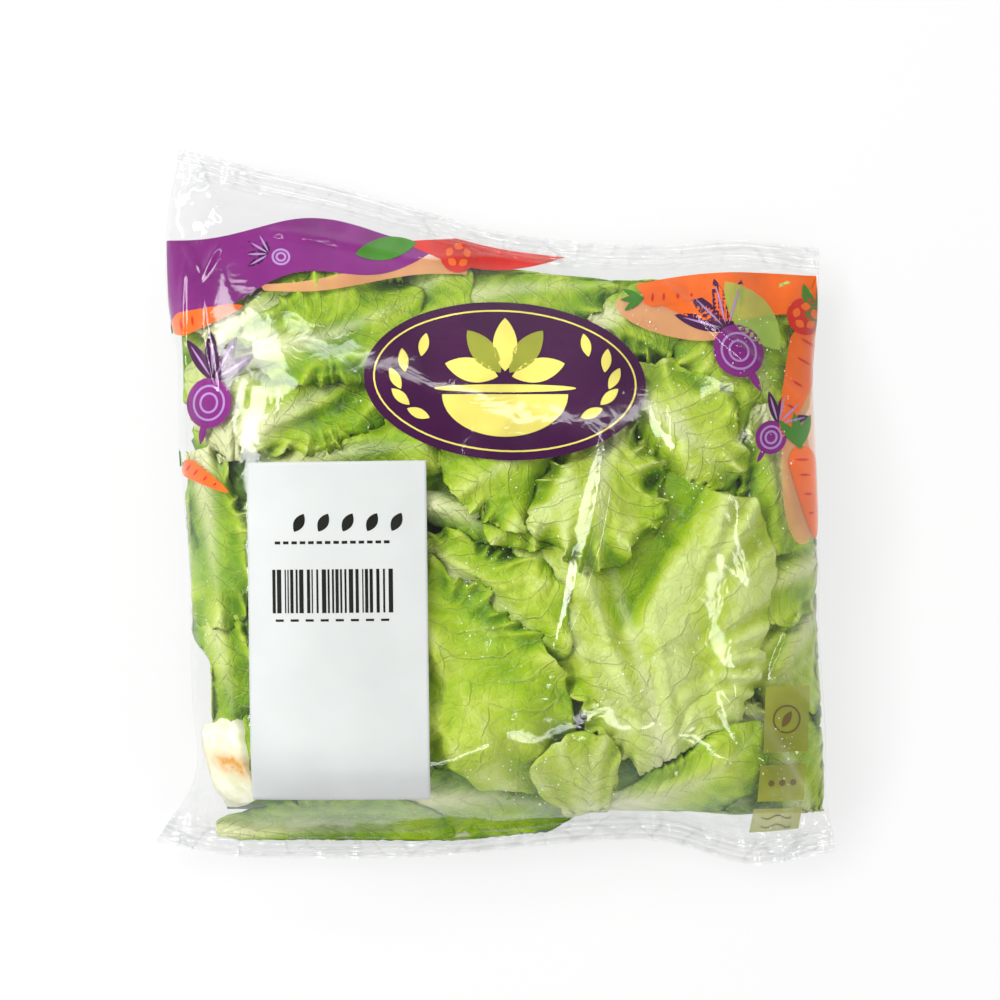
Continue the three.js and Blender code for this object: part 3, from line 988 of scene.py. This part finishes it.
def leaf_outline(p, q, spec, ends):
    """Plan of a leaf with its lobes, teeth and frilled margin, and what its relief needs."""
    seed, width, length = spec["seed"], spec["width"], spec["length"]
    drawn = p * (1 - spec.get("corner", 0.3) * (p * q) ** 2)
    spine, run = curve_through(*ends, drawn)
    aside = np.stack([-run[..., 1], run[..., 0]], -1)
    swell = np.sin(np.minimum(drawn / 0.72, 1) * np.pi / 2) ** spec.get("taper", 0.85)
    width_share = LEAF_BASE_WIDTH + (1 - LEAF_BASE_WIDTH) * swell
    side = q * (1 + spec.get("lean", 0) * q) * width * width_share
    ahead = (drawn - 0.45) * length
    angle = np.arctan2(side, ahead)
    arc = angle * (width + length / 2) / 2
    edge = smooth((np.maximum(np.abs(q), p ** 3) - 0.45) / 0.55)

    def along_margin(pitch, step):
        return value_noise(arc, arc * 0, pitch, seed + step)

    lobes = spec.get("lobe", 0.17) * width * along_margin(17, 1)
    lobes = lobes + 0.08 * width * along_margin(8, 12)
    teeth = 1.5 * along_margin(4.2, 2) + 1.1 * along_margin(2.0, 3)
    reach = lobes * edge + teeth * edge ** 4
    turns = arc / FRILL_PITCH + 0.8 * along_margin(17, 4)
    slide = 0.3 * spec["ruffle"] * edge * np.cos(2 * np.pi * turns)
    along = np.cos(angle) * reach - np.sin(angle) * slide
    across = np.sin(angle) * reach + np.cos(angle) * slide
    place = spine + run * along[..., None] + aside * (side + across)[..., None]
    frill = edge * np.sin(2 * np.pi * turns) * (1 + 0.6 * value_noise(arc, edge * 4, 11, seed + 5))
    return place[..., 0], place[..., 1], {"side": side, "frill": frill, "ahead": ahead}


def leaf_relief(p, q, x, y, shape, spec):
    """Height of a leaf over its own mean, as its broad waves and its finer folds."""
    seed, side = spec["seed"], shape["side"]
    rib = 1.5 * (1.1 - p) * bell(side, 1.4 + 2.6 * (1 - p))
    phase = (p - VEIN_SWEEP * np.abs(q) ** 0.8) * VEIN_COUNT
    pucker = np.abs(np.sin(np.pi * (phase + 0.5 * value_noise(x, y, 14, seed + 6))))
    pucker = 1.3 * pucker * smooth(np.abs(q) * 5) * (0.5 + 0.5 * value_noise(x, y, 20, seed + 7))
    blister = 0.6 * np.abs(value_noise(x, y, 3.8, seed + 8))
    fan = np.arctan2(side, shape["ahead"] + 0.75 * spec["length"]) * 60
    crease = 0.6 - 2 * np.abs(value_noise(fan, p * 16, 8, seed + 9))
    wave = value_noise(x, y, 27, seed + 10) + 0.6 * value_noise(x, y, 12, seed + 11)
    fine = rib + pucker + blister + 0.65 * spec["wave"] * crease + 0.8 * spec["ruffle"] * shape["frill"]
    fine = fine - 0.9 * smooth((np.maximum(np.abs(q), p ** 6) - 0.93) / 0.07)
    if "roll" in spec:
        fine = fine + spec["roll"] * np.sqrt(np.maximum(1 - q ** 2, 0))
    if "fold" in spec:
        fine = fine - fold_depth(x, y, spec["fold"])
    return spec["wave"] * wave, fine


def fold_depth(x, y, fold):
    """Depth of a sharp valley fold with one steep side."""
    start = np.array(from_pixel(*fold["start"]))
    end = np.array(from_pixel(*fold["end"]))
    run = end - start
    length = np.hypot(*run)
    along = ((x - start[0]) * run[0] + (y - start[1]) * run[1]) / length ** 2
    away = ((x - start[0]) * run[1] - (y - start[1]) * run[0]) / length
    ends = smooth((along + 0.35) / 0.5) * smooth((1.35 - along) / 0.5)
    steep = np.where(away < 0, np.exp(away / (0.3 * fold["width"])), np.exp(-away / fold["width"]))
    return fold["height"] * ends * steep


def place_leaf(spec, ceiling, floor, upward=True):
    """One leaf's mesh, laid under the ceiling map and over the floor map, which it then updates."""
    ends = [from_pixel(*spec[key]) for key in ("base", "bend", "tip")]
    line, _ = curve_through(*ends, np.linspace(0, 1, 30))
    spec["length"] = np.hypot(*np.diff(line, axis=0).T).sum()
    bm = leaf_grid(spec["length"], spec["width"], spec["step"])
    mesh = mesh_from(bm, spec["name"])
    p, q = leaf_shares(mesh)
    x, y, shape = leaf_outline(p, q, spec, ends)
    x, y = keep_inside(x, y, LEAF_SIDE_ROOM, LEAF_BOTTOM_ROOM, LEAF_TOP_ROOM)
    x = clear_corner(x, y)
    y = clear_bottom(x, y)
    y = np.minimum(y, LEAF_TOP_Y + 3 * np.tanh((y - LEAF_TOP_Y) / 12))
    broad, fine = leaf_relief(p, q, x, y, shape, spec)
    relief = broad + fine
    relief = relief - np.percentile(relief, 93)
    sign = 1 if upward else -1
    limit = ceiling.at(x, y)
    soft = ceiling.blurred(4).at(x, y)
    reach = LEAF_GAP + spec["depth"]
    below = floor.at(x, y)
    roof = np.maximum(limit - LEAF_GAP, (limit + below + LEAF_THICKNESS) / 2)
    height = np.minimum(soft - reach + relief, roof)
    height = np.maximum(height, np.minimum(below + LEAF_GAP + 0.15 * np.abs(relief), roof))
    ceiling.lower_to(x, y, height - LEAF_THICKNESS)
    set_mesh_points(mesh, np.stack([x, y, sign * height], -1))
    tone = spec["tone"] + 0.10 * value_noise(x, y, 30, spec["seed"] + 13)
    # Painted shade: darker in the valleys of the leaf's folds and paler on its crests.
    tone = tone - 0.08 * np.clip(fine - fine.mean(), -3.5, 3)
    # Painted shade: darker the deeper the leaf lies under the film.
    tone = tone + 0.03 * np.clip(limit - height - 4, 0, 9) - 0.05
    colour_leaf(mesh, p, q, shape["side"], tone, spec.get("pale", 0))
    return mesh


def colour_leaf(mesh, p, q, side, tone, extra_pale):
    """Gives a leaf its tone, which holds painted shade in its valleys and deeper places, its pale rib
    and base, and the UV map that its veins follow.
    """
    pale = bell(side, 0.9 + 4.0 * (1 - p) ** 1.3) * (1.05 - p) + extra_pale
    pale = pale + 0.35 * smooth((0.25 - p) / 0.25)
    add_attribute(mesh, "pale", np.clip(pale, 0, 1))
    add_attribute(mesh, "tone", np.clip(tone, 0, 1))
    uv = mesh.uv_layers.new(name="leaf")
    loops = np.zeros(len(mesh.loops), np.int32)
    mesh.loops.foreach_get("vertex_index", loops)
    uv.data.foreach_set("uv", np.stack([q[loops] / 2 + 0.5, p[loops]], -1).ravel())


def join_meshes(name, meshes):
    """All the meshes as one. Their attributes and UV maps have the same names."""
    bm = bmesh.new()
    for mesh in meshes:
        bm.from_mesh(mesh)
        bpy.data.meshes.remove(mesh)
    return mesh_from(bm, name)


def leaf_piece(name, meshes, material, flipped=False):
    """Joins leaves into one piece and gives them their thickness."""
    mesh = join_meshes(name, meshes)
    if flipped:
        mesh.flip_normals()
    set_mesh_points(mesh, mesh_points(mesh) * MM)
    piece = add_object(name, mesh, material)
    thicken(piece, LEAF_THICKNESS)
    return finish_piece(piece)


def random_leaf(rng, number, low_y, high_y, size):
    """A leaf at a random place and heading, as a spec like those in LEAVES."""
    middle = np.array([rng.uniform(-88, 88), rng.uniform(low_y, high_y)])
    heading = rng.uniform(0, 2 * np.pi)
    length = rng.uniform(*size)
    half = np.array([math.cos(heading), math.sin(heading)]) * length / 2
    aside = np.array([-half[1], half[0]]) * rng.uniform(-0.35, 0.35)
    base, bend, tip = (to_pixel(*place) for place in (middle - half, middle + aside, middle + half))
    return {"name": f"leaf_{number}", "base": base, "bend": bend, "tip": tip,
            "width": length * rng.uniform(0.26, 0.36),
            "tone": rng.uniform(0.45, 0.85), "depth": rng.uniform(1.5, 4),
            "ruffle": rng.uniform(1.5, 3.5), "wave": rng.uniform(2, 4), "seed": 900 + 20 * number,
            "step": HIDDEN_LEAF_STEP}


def build_leaves(front, back, material):
    """Front, filling and back leaves. Returns the space left between them."""
    ceiling = front.copy()
    front_meshes = []
    for number, spec in enumerate(LEAVES):
        spec["seed"] = 100 + 20 * number
        spec["step"] = TOP_LEAF_STEP if number < TOP_LEAVES else EDGE_LEAF_STEP
        front_meshes.append(place_leaf(spec, ceiling, back))
    leaf_piece("leaves_front", front_meshes[:TOP_LEAVES], material)
    leaf_piece("leaves_edge", front_meshes[TOP_LEAVES:], material)
    rng = np.random.default_rng(7)
    fill = [place_leaf(random_leaf(rng, i, -95, 70, (62, 96)), ceiling, back)
            for i in range(FILL_LEAVES)]
    leaf_piece("leaves_inner", fill, material)
    under = HeightMap(-back.values)
    top_limit = HeightMap(-ceiling.values)
    below = [place_leaf(random_leaf(rng, 60 + i, -90, 60, (70, 100)), under, top_limit, upward=False)
             for i in range(BACK_LEAVES)]
    leaf_piece("leaves_back", below, material, flipped=True)
    return ceiling, HeightMap(-under.values)


def build_core(ceiling, under, material):
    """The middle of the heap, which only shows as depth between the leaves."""
    bm = bmesh.new()
    add_two_sheets(bm, 90, 80)
    mesh = mesh_from(bm, "core")
    grid = mesh_points(mesh)
    across = 0.05 + 0.9 * (grid[:, 0] + 0.5)
    y = CORE_BOTTOM_Y + (CORE_TOP_Y - CORE_BOTTOM_Y) * (grid[:, 1] + 0.5)
    x = clear_corner(plan_point(across, 0.5 + grid[:, 1] * 0.7)[0], y)
    top = ceiling.blurred(3).at(x, y) - 2 + 1.2 * value_noise(x, y, 7, 5)
    bottom = under.blurred(3).at(x, y) + 1.5
    rim = np.maximum(np.abs(grid[:, 0]), np.abs(grid[:, 1])) > 0.4999
    middle = (top + bottom) / 2
    top, bottom = np.maximum(top, middle), np.minimum(bottom, middle)
    height = np.where(attribute_of(mesh, "facing") > 0, top, bottom)
    height = np.where(rim, middle, height)
    set_mesh_points(mesh, np.stack([x, y, height], -1) * MM)
    # Painted shade: the middle of the heap takes the darkest tone, so the gaps between the leaves read
    # as deep shade.
    add_attribute(mesh, "tone", np.full(len(x), 0.95))
    add_attribute(mesh, "pale", np.zeros(len(x)))
    welded = bmesh.new()
    welded.from_mesh(mesh)
    bmesh.ops.remove_doubles(welded, verts=welded.verts, dist=0.00001)
    welded.to_mesh(mesh)
    welded.free()
    mesh.uv_layers.new(name="leaf")
    return finish_piece(add_object("leaves_core", mesh, material))


def build_stem(ceiling):
    """The pale cut stem that shows beside the label, near the bottom."""
    middle = from_pixel(*STEM_PIXEL)
    bm = bmesh.new()
    bmesh.ops.create_uvsphere(bm, u_segments=64, v_segments=48, radius=1)
    mesh = mesh_from(bm, "stem")
    ball = mesh_points(mesh)
    ridges = value_noise(ball[:, 0] * 10 + 50, ball[:, 1] * 4 + 50, 2.4, 77)
    bumps = 1 + 0.06 * ridges + 0.08 * value_noise(ball[:, 0] * 10, ball[:, 1] * 10 + 20, 6, 78)
    x = middle[0] + (ball[:, 0] * (13.5 + 4 * ball[:, 1]) - 3.5 * ball[:, 1] ** 2) * bumps
    y = middle[1] + (ball[:, 1] * 16 - 2 * ball[:, 0]) * bumps
    roof = ceiling.at(np.array([middle[0]]), np.array([middle[1]]))[0]
    z = np.minimum(roof - 9 + ball[:, 2] * 8 * bumps, ceiling.at(x, y) - 0.6)
    set_mesh_points(mesh, np.stack([x, y, z], -1) * MM)
    cut = from_pixel(*STEM_CUT_PIXEL)
    lean = y - cut[1] + 0.25 * (x - cut[0])
    add_attribute(mesh, "pale", 1.6 * bell(np.hypot((x - cut[0]) / 2.2, lean), 3.4))
    return finish_piece(add_object("stem", mesh, stem_material()))


# Print on the inside of the film

def drape(outline, tree, depth, name, step=2.0):
    """A shape with the outline or ring given in plan, cut into cells and laid under a surface."""
    bm = bmesh.new()
    is_ring = isinstance(outline, tuple)
    for loop in outline if is_ring else [outline]:
        corners = [bm.verts.new((x, y, 0)) for x, y in loop]
        if is_ring:
            for a, b in zip(corners, corners[1:] + corners[:1]):
                bm.edges.new((a, b))
        else:
            bm.faces.new(corners)
    if is_ring:
        bmesh.ops.bridge_loops(bm, edges=bm.edges[:])
    bmesh.ops.triangulate(bm, faces=bm.faces[:])
    outline = np.array(outline[0] if is_ring else outline)
    for axis in (0, 1):
        low, high = outline[:, axis].min(), outline[:, axis].max()
        for cut in np.arange(math.ceil(low / step) * step, high, step):
            place = [0, 0, 0]
            facing = [0, 0, 0]
            place[axis], facing[axis] = cut, 1
            geometry = bm.verts[:] + bm.edges[:] + bm.faces[:]
            bmesh.ops.bisect_plane(bm, geom=geometry, plane_co=place, plane_no=facing, dist=1e-4)
    bm.normal_update()
    if sum(f.normal.z for f in bm.faces) < 0:
        bmesh.ops.reverse_faces(bm, faces=bm.faces[:])
    for v in bm.verts:
        start = Vector((v.co.x * MM, v.co.y * MM, 1))
        hit = tree.ray_cast(start, Vector((0, 0, -1)))[0]
        if hit is None:
            hit = tree.find_nearest(Vector((start.x, start.y, 0.012)))[0]
        v.co = (start.x, start.y, hit.z - depth * MM)
    return mesh_from(bm, name)


def ellipse(centre, across, up, turn=0.0, points=72, start=0.0, end=360.0):
    """Outline in plan of an ellipse, or of a part of one, from pixels of the photograph."""
    angles = np.radians(np.linspace(start, end, points, endpoint=end - start < 360))
    return placed(list(zip(across * np.cos(angles), up * np.sin(angles))), centre, turn)


def placed(offsets, centre, turn):
    """Outline in plan of pixel offsets to the right and up, turned about a centre."""
    c, s = math.cos(math.radians(turn)), math.sin(math.radians(turn))
    return [from_pixel(centre[0] + c * a - s * b, centre[1] - s * a - c * b) for a, b in offsets]


def leaf_shape(centre, length, width, turn, points=16):
    """Outline in plan of a plain pointed leaf."""
    t = np.linspace(0, 1, points)
    half = width / 2 * np.sin(np.pi * t) ** 0.8
    along = (t - 0.5) * length
    return placed(list(zip(along, half)) + list(zip(along, -half))[::-1][1:-1], centre, turn)


def ring(centre, across, up, thickness, turn=0.0):
    """Outlines in plan of the outside and the inside of a ring."""
    return (ellipse(centre, across, up, turn),
            ellipse(centre, across - thickness, up - thickness, turn))


def root_shape(centre, length, width, turn, points=24):
    """Outline in plan of a tapered root, with its rounded top at the end that the turn points to."""
    t = np.linspace(0, 1, points)
    half = width / 2 * np.minimum(1, (t / 0.16)) ** 0.5 * (1 - t) ** 0.6
    along = (0.5 - t) * length
    return placed(list(zip(along, half)) + list(zip(along, -half))[::-1][1:-1], centre, turn)


def ahead_of(centre, distance, turn):
    """The pixel at a distance from another, in the direction of a turn."""
    angle = math.radians(turn)
    return centre[0] + distance * math.cos(angle), centre[1] - distance * math.sin(angle)


def band(left, right, top, bottom, points=60):
    """Outline in plan of a band between two wavy lines. Each line gives a pixel row for a share."""
    t = np.linspace(0, 1, points)
    px = left + (right - left) * t
    upper = [from_pixel(a, top(b)) for a, b in zip(px, t)]
    lower = [from_pixel(a, bottom(b)) for a, b in zip(px, t)]
    return upper + lower[::-1][1:-1]


def kept_inside(outline, inset=1.2):
    """An outline, or both of a ring, with what lies past the pack's edge moved onto it."""
    if isinstance(outline, tuple):
        return tuple(kept_inside(loop, inset) for loop in outline)
    xy = np.array(outline)
    across, up = shares_at(xy[:, 0], xy[:, 1])
    side = inset / (right_edge(0.5) - left_edge(0.5))
    x, y = plan_point(np.clip(across, side, 1 - side), np.clip(up, 0.05, 0.97))
    return list(zip(x, y))


INKS = {
    "purple": ("7e2078", 1.0),
    "deep_purple": ("40083e", 1.0),
    "pale_yellow": ("eee070", 1.0),
    "orange": ("f06a1c", 1.0),
    "clear_orange": ("f8a878", 0.7),
    "red": ("d0281c", 1.0),
    "green": ("3f7f1a", 1.0),
    "clear_green": ("b4d060", 0.6),
    "olive": ("a4a838", 0.85),
    "brown": ("76602a", 1.0),
    "lilac": ("b48cc8", 0.9),
}

DEEPEST, DEEP, MIDDLE, NEAR, NEAREST = 0.82, 0.68, 0.52, 0.34, 0.16


def border_shapes():
    """The printed border: wavy fields of colour with plain vegetable rounds on them."""
    shapes = []

    def add(ink, depth, outline):
        shapes.append((ink, depth, kept_inside(outline)))

    add("purple", DEEP, band(
        164, 452, lambda t: 240 - 16 * math.sin(math.pi * t) + 7 * math.sin(9 * t),
        lambda t: 322 - 78 * t + 12 * math.sin(3 * math.pi * t + 0.5)))
    add("red", MIDDLE, band(
        404, 566, lambda t: 240 + 12 * t - 8 * math.sin(math.pi * t),
        lambda t: 242 + 14 * t + 20 * math.sin(math.pi * t)))
    add("orange", DEEP, band(
        636, 824, lambda t: 284 - 14 * t - 6 * math.sin(4 * t),
        lambda t: 288 + 44 * t ** 0.8 + 14 * math.sin(5 * t)))
    add("clear_orange", DEEPEST, band(
        262, 470, lambda t: 286 - 34 * t + 4 * math.sin(7 * t),
        lambda t: 292 - 16 * t + 5 * math.sin(6 * t)))
    add("clear_orange", DEEPEST, ellipse((672, 318), 58, 20, turn=-14))
    add("clear_orange", DEEPEST, ellipse((806, 440), 27, 104, turn=-4))

    def carrot(centre, length, width, turn):
        add("orange", MIDDLE, root_shape(centre, length, width, turn))
        for step in (-0.22, -0.02, 0.18, 0.34):
            mark = ahead_of(centre, step * length, turn)
            add("red", NEAR, leaf_shape(mark, width * (0.3 + 0.5 * step), 2.6, turn + 80, points=7))
        crown = ahead_of(centre, 0.5 * length, turn)
        for lean in (-32, 0, 32):
            add("green", NEAR, leaf_shape(ahead_of(crown, 0.4 * width, turn + lean),
                                          1.1 * width, 0.3 * width, turn + lean))

    def beet(centre, radius, turn):
        crown = ahead_of(centre, 0.9 * radius, turn)
        for lean in (-46, -16, 16, 46):
            spot = ahead_of(crown, 0.95 * radius, turn + lean)
            add("deep_purple", DEEP, leaf_shape(spot, 2.1 * radius, 0.56 * radius, turn + lean))
            add("lilac", NEAR, leaf_shape(spot, 1.5 * radius, 2.2, turn + lean, points=9))
        add("purple", MIDDLE, ellipse(centre, radius, 0.92 * radius, turn))
        tail = ahead_of(centre, -1.15 * radius, turn)
        add("purple", MIDDLE, leaf_shape(tail, 1.1 * radius, 0.3 * radius, turn))
        for share in (0.72, 0.42):
            add("lilac", NEAR, ring(centre, share * radius, share * 0.92 * radius, 2.2, turn))

    def slice_of(centre, radius):
        add("red", NEAR, ellipse(centre, radius, radius))
        for turn in range(15, 375, 72):
            spot = ahead_of(centre, 0.52 * radius, turn)
            add("orange", NEAREST, leaf_shape(spot, 0.56 * radius, 0.42 * radius, turn + 90))

    carrot((208, 318), 78, 27, 196)
    beet((212, 404), 25, 78)
    carrot((207, 478), 58, 21, 150)
    beet((282, 258), 13, 165)
    slice_of((458, 254), 18)
    add("green", NEAR, leaf_shape((386, 248), 62, 24, 12))
    add("clear_green", MIDDLE, leaf_shape((752, 316), 88, 40, 128))
    carrot((676, 296), 70, 22, 184)
    beet((737, 352), 27, 118)
    carrot((797, 382), 120, 46, 72)
    beet((768, 438), 17, 60)
    carrot((806, 492), 96, 34, 100)
    slice_of((806, 316), 19)
    return shapes


def badge_shapes():
    """A plain purple oval with a bowl of leaves."""
    x, y = BADGE_PIXEL
    shapes = [
        ("deep_purple", MIDDLE, ellipse((x, y), 139, 79, turn=-3, points=120)),
        ("pale_yellow", NEAR, ring((x, y), 130, 71, 1.8, turn=-3)),
        ("pale_yellow", NEAREST, ellipse((x, y + 14), 62, 42, start=180, end=360, points=40)),
        ("pale_yellow", NEAREST, ellipse((x, y + 8), 70, 4, points=40)),
    ]
    for turn in (14, 52, 90, 128, 166):
        far = ahead_of((x, y - 2), 34, turn)
        ink = "olive" if turn in (52, 128) else "pale_yellow"
        shapes.append((ink, NEAREST, leaf_shape(far, 54, 24, turn)))
    for side in (-1, 1):
        for angle in (-38, -18, 2, 22, 42):
            along = math.radians(angle)
            spot = (x + side * 108 * math.cos(along), y - 53 * math.sin(along))
            shapes.append(("pale_yellow", NEAREST, leaf_shape(spot, 24, 10, 90 + side * (angle - 30))))
    return shapes


def panel_shapes():
    """Three small olive panels, each with a plain figure in brown."""
    shapes = []
    for (left, top, right, bottom), figure in (
            ((762, 684, 808, 750), "ring"), ((757, 762, 805, 799), "dots"),
            ((752, 807, 802, 834), "waves")):
        corners = [(left, top), (right, top), (right - 2, bottom), (left - 2, bottom)]
        shapes.append(("olive", MIDDLE, kept_inside([from_pixel(*c) for c in corners])))
        middle = ((left + right) / 2 - 1, (top + bottom) / 2)
        reach = min(right - left, bottom - top) / 2
        if figure == "ring":
            shapes.append(("brown", NEAR, ring(middle, reach * 0.62, reach * 0.62, 1.6)))
            shapes.append(("brown", NEAR, leaf_shape(middle, reach * 0.8, reach * 0.34, 60)))
        if figure == "dots":
            for step in (-1, 0, 1):
                spot = (middle[0] + step * reach * 0.62, middle[1])
                shapes.append(("brown", NEAR, ellipse(spot, 3.2, 3.2, points=20)))
        if figure == "waves":
            for step in (-1, 1):
                shapes.append(("brown", NEAR, band(
                    left + 8, right - 10,
                    lambda t, s=step: middle[1] + 5 * s + 2 * math.sin(9 * t),
                    lambda t, s=step: middle[1] + 5 * s + 2 * math.sin(9 * t) + 1.6, points=24)))
    return shapes


def build_print(tree):
    """One piece for each ink, with the shapes of the border, the badge and the panels."""
    by_ink = {}
    for number, (ink, depth, outline) in enumerate(border_shapes() + badge_shapes() + panel_shapes()):
        shape = drape(outline, tree, depth, f"shape_{number}", step=1.5)
        by_ink.setdefault(ink, []).append(shape)
    for ink, meshes in by_ink.items():
        code, alpha = INKS[ink]
        mesh = join_meshes("ink_" + ink, meshes)
        piece = add_object("ink_" + ink, mesh, ink_material("ink_" + ink, code, alpha))
        finish_piece(piece)


# Label

def label_place(along_x, along_y):
    """Place in plan of a place on the label, in millimetres from its middle."""
    c, s = math.cos(LABEL_TURN), math.sin(LABEL_TURN)
    return LABEL_CENTRE[0] + c * along_x - s * along_y, LABEL_CENTRE[1] + s * along_x + c * along_y


def build_label(front):
    """A sheet of paper stuck on the film, with its edges lifted a little."""
    bm = bmesh.new()
    bmesh.ops.create_grid(bm, x_segments=60, y_segments=110, size=0.5)
    mesh = mesh_from(bm, "label_paper")
    grid = mesh_points(mesh)
    x, y = label_place(grid[:, 0] * LABEL_WIDTH, grid[:, 1] * LABEL_LENGTH)
    smooth_front = front.blurred(3)
    edge = np.maximum(np.abs(grid[:, 0]), np.abs(grid[:, 1])) * 2
    lift = 0.25 * smooth((edge - 0.9) / 0.1) * (0.5 + 0.5 * value_noise(x, y, 14, 21))
    z = np.maximum(front.at(x, y), smooth_front.at(x, y)) + PAPER_LIFT + lift
    set_mesh_points(mesh, np.stack([x, y, z], -1) * MM)
    paper = add_object("label_paper", mesh, paper_material())
    thicken(paper, PAPER_THICKNESS)
    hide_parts("label")
    finish_piece(paper)
    return paper


def label_mark(x0, y0, x1, y1):
    """Corners in plan of a bar on the label, from its own millimetres."""
    return [label_place(*c) for c in ((x0, y0), (x1, y0), (x1, y1), (x0, y1))]


def build_label_marks(paper):
    """Plain printed marks: a row of leaves, a dashed line and a block of made-up stripes."""
    tree = BVHTree.FromObject(paper, bpy.context.evaluated_depsgraph_get())
    outlines = []
    for step in range(5):
        middle = to_pixel(*label_place(-13 + 8.4 * step, 37.5))
        outlines.append(leaf_shape(middle, 20, 10.5, 62))
    for step in range(14):
        start = -21.5 + 2.9 * step
        outlines.append(label_mark(start, 30.2, start + 1.9, 31.2))
    rng = np.random.default_rng(12)
    at = -22.5
    while at < 18.5:
        width = rng.choice([0.45, 0.7, 1.1, 1.5])
        outlines.append(label_mark(at, 6.5, at + width, 21.5))
        at += width + rng.choice([0.5, 0.8, 1.2])
    for step in range(8):
        start = -21.5 + 5.2 * step
        outlines.append(label_mark(start, 3.6, start + 2.8, 4.4))
    meshes = [drape(outline, tree, -0.06, f"mark_{i}", step=3.0) for i, outline in enumerate(outlines)]
    marks = add_object("label_marks", join_meshes("label_marks", meshes),
                       ink_material("ink_black", "23231f", 1.0))
    finish_piece(marks)


# Moisture

def build_droplets(front):
    """Fine beads of moisture on the inside of the film, over the leaves."""
    rng = np.random.default_rng(31)
    badge_x, badge_y = from_pixel(*BADGE_PIXEL)
    beads = []
    bm = bmesh.new()
    while len(beads) < BEADS:
        x, y = rng.uniform(-102, 104), rng.uniform(-104, 70)
        cloud = value_noise(np.array([x]), np.array([y]), 22, 33)[0]
        if cloud + rng.uniform(-0.4, 0.5) < 0.2 or clear_of_label(np.array([x]), np.array([y]))[0] < 0.2:
            continue
        if math.hypot((x - badge_x) / BADGE_REACH[0], (y - badge_y) / BADGE_REACH[1]) < 1:
            continue
        beads.append((x, y, BEAD_RADIUS + BEAD_GROWTH * rng.random() ** 4))
    heights = front.at(np.array([b[0] for b in beads]), np.array([b[1] for b in beads]))
    for (x, y, radius), z in zip(beads, heights):
        made = bmesh.ops.create_icosphere(bm, subdivisions=1, radius=radius * MM)
        bmesh.ops.scale(bm, verts=made["verts"], vec=(1, rng.uniform(0.8, 1.5), 0.5))
        bmesh.ops.translate(bm, verts=made["verts"], vec=(x * MM, y * MM, (z - 0.25) * MM))
    beads = add_object("moisture", mesh_from(bm, "moisture"), droplet_material())
    return finish_piece(beads)


# Studio

def area_light(name, place, size, power):
    """A white area light that faces the pack."""
    data = bpy.data.lights.new(name, "AREA")
    data.shape = "RECTANGLE"
    data.size, data.size_y = size
    data.energy = power
    light = bpy.data.objects.new(name, data)
    light.location = place
    to_pack = Vector((0, 0, 0)) - Vector(place)
    light.rotation_euler = to_pack.to_track_quat("-Z", "Y").to_euler()
    bpy.context.scene.collection.objects.link(light)


def build_world():
    """Even pale surroundings that are darker overhead, so that the film mirrors little there."""
    world = bpy.data.worlds.new("studio")
    world.use_nodes = True
    tree = world.node_tree
    tree.nodes.clear()
    place = tree.nodes.new("ShaderNodeTexCoord")
    split = tree.nodes.new("ShaderNodeSeparateXYZ")
    ramp = tree.nodes.new("ShaderNodeValToRGB")
    background = tree.nodes.new("ShaderNodeBackground")
    output = tree.nodes.new("ShaderNodeOutputWorld")
    tree.links.new(place.outputs["Generated"], split.inputs[0])
    tree.links.new(split.outputs[2], ramp.inputs[0])
    tree.links.new(ramp.outputs[0], background.inputs[0])
    tree.links.new(background.outputs[0], output.inputs[0])
    set_stops(ramp, [(height, (level, level, level)) for height, level in SKY_LEVELS])
    background.inputs[1].default_value = SKY_STRENGTH
    bpy.context.scene.world = world


def build_studio():
    """Camera over the pack, pale floor, lights and surroundings."""
    camera = bpy.data.cameras.new("camera")
    camera.sensor_width = 36
    camera.lens = 36 * CAMERA_DISTANCE / (1000 * MM_PER_PIXEL * MM)
    eye = bpy.data.objects.new("camera", camera)
    x, y = from_pixel(500, 500)
    eye.location = (x * MM, y * MM, CAMERA_DISTANCE + 0.02)
    bpy.context.scene.collection.objects.link(eye)
    bpy.context.scene.camera = eye

    bm = bmesh.new()
    bmesh.ops.create_grid(bm, x_segments=1, y_segments=1, size=3)
    bmesh.ops.translate(bm, verts=bm.verts, vec=(0, 0, -0.0003))
    make = NodeMaker("floor")
    place = make("TexCoord", output="Object")
    cloud = make("TexNoise", {"Vector": place, "Scale": 3})
    colour = make.ramp(cloud, [(0.3, (0.22, 0.22, 0.22)), (0.7, (0.23, 0.23, 0.23))])
    floor_paint = make("BsdfPrincipled", {
        "Base Color": colour, "Roughness": 0.8, "Specular IOR Level": 0.1,
        "Emission Color": (1, 1, 1, 1), "Emission Strength": 0.71})
    floor = add_object("floor", mesh_from(bm, "floor"), make.surface(floor_paint))

    for light in LIGHTS:
        area_light(**light)
    build_world()
    bpy.context.scene.view_settings.view_transform = "Standard"


build_studio()
film = build_film()
front_map, back_map, film_tree = film_maps(film)
build_print(film_tree)
paper = build_label(front_map)
build_label_marks(paper)
leaf_skin = leaf_material()
space_top, space_bottom = build_leaves(front_map, back_map, leaf_skin)
build_core(space_top, space_bottom, leaf_skin)
build_stem(front_map)
build_droplets(front_map)
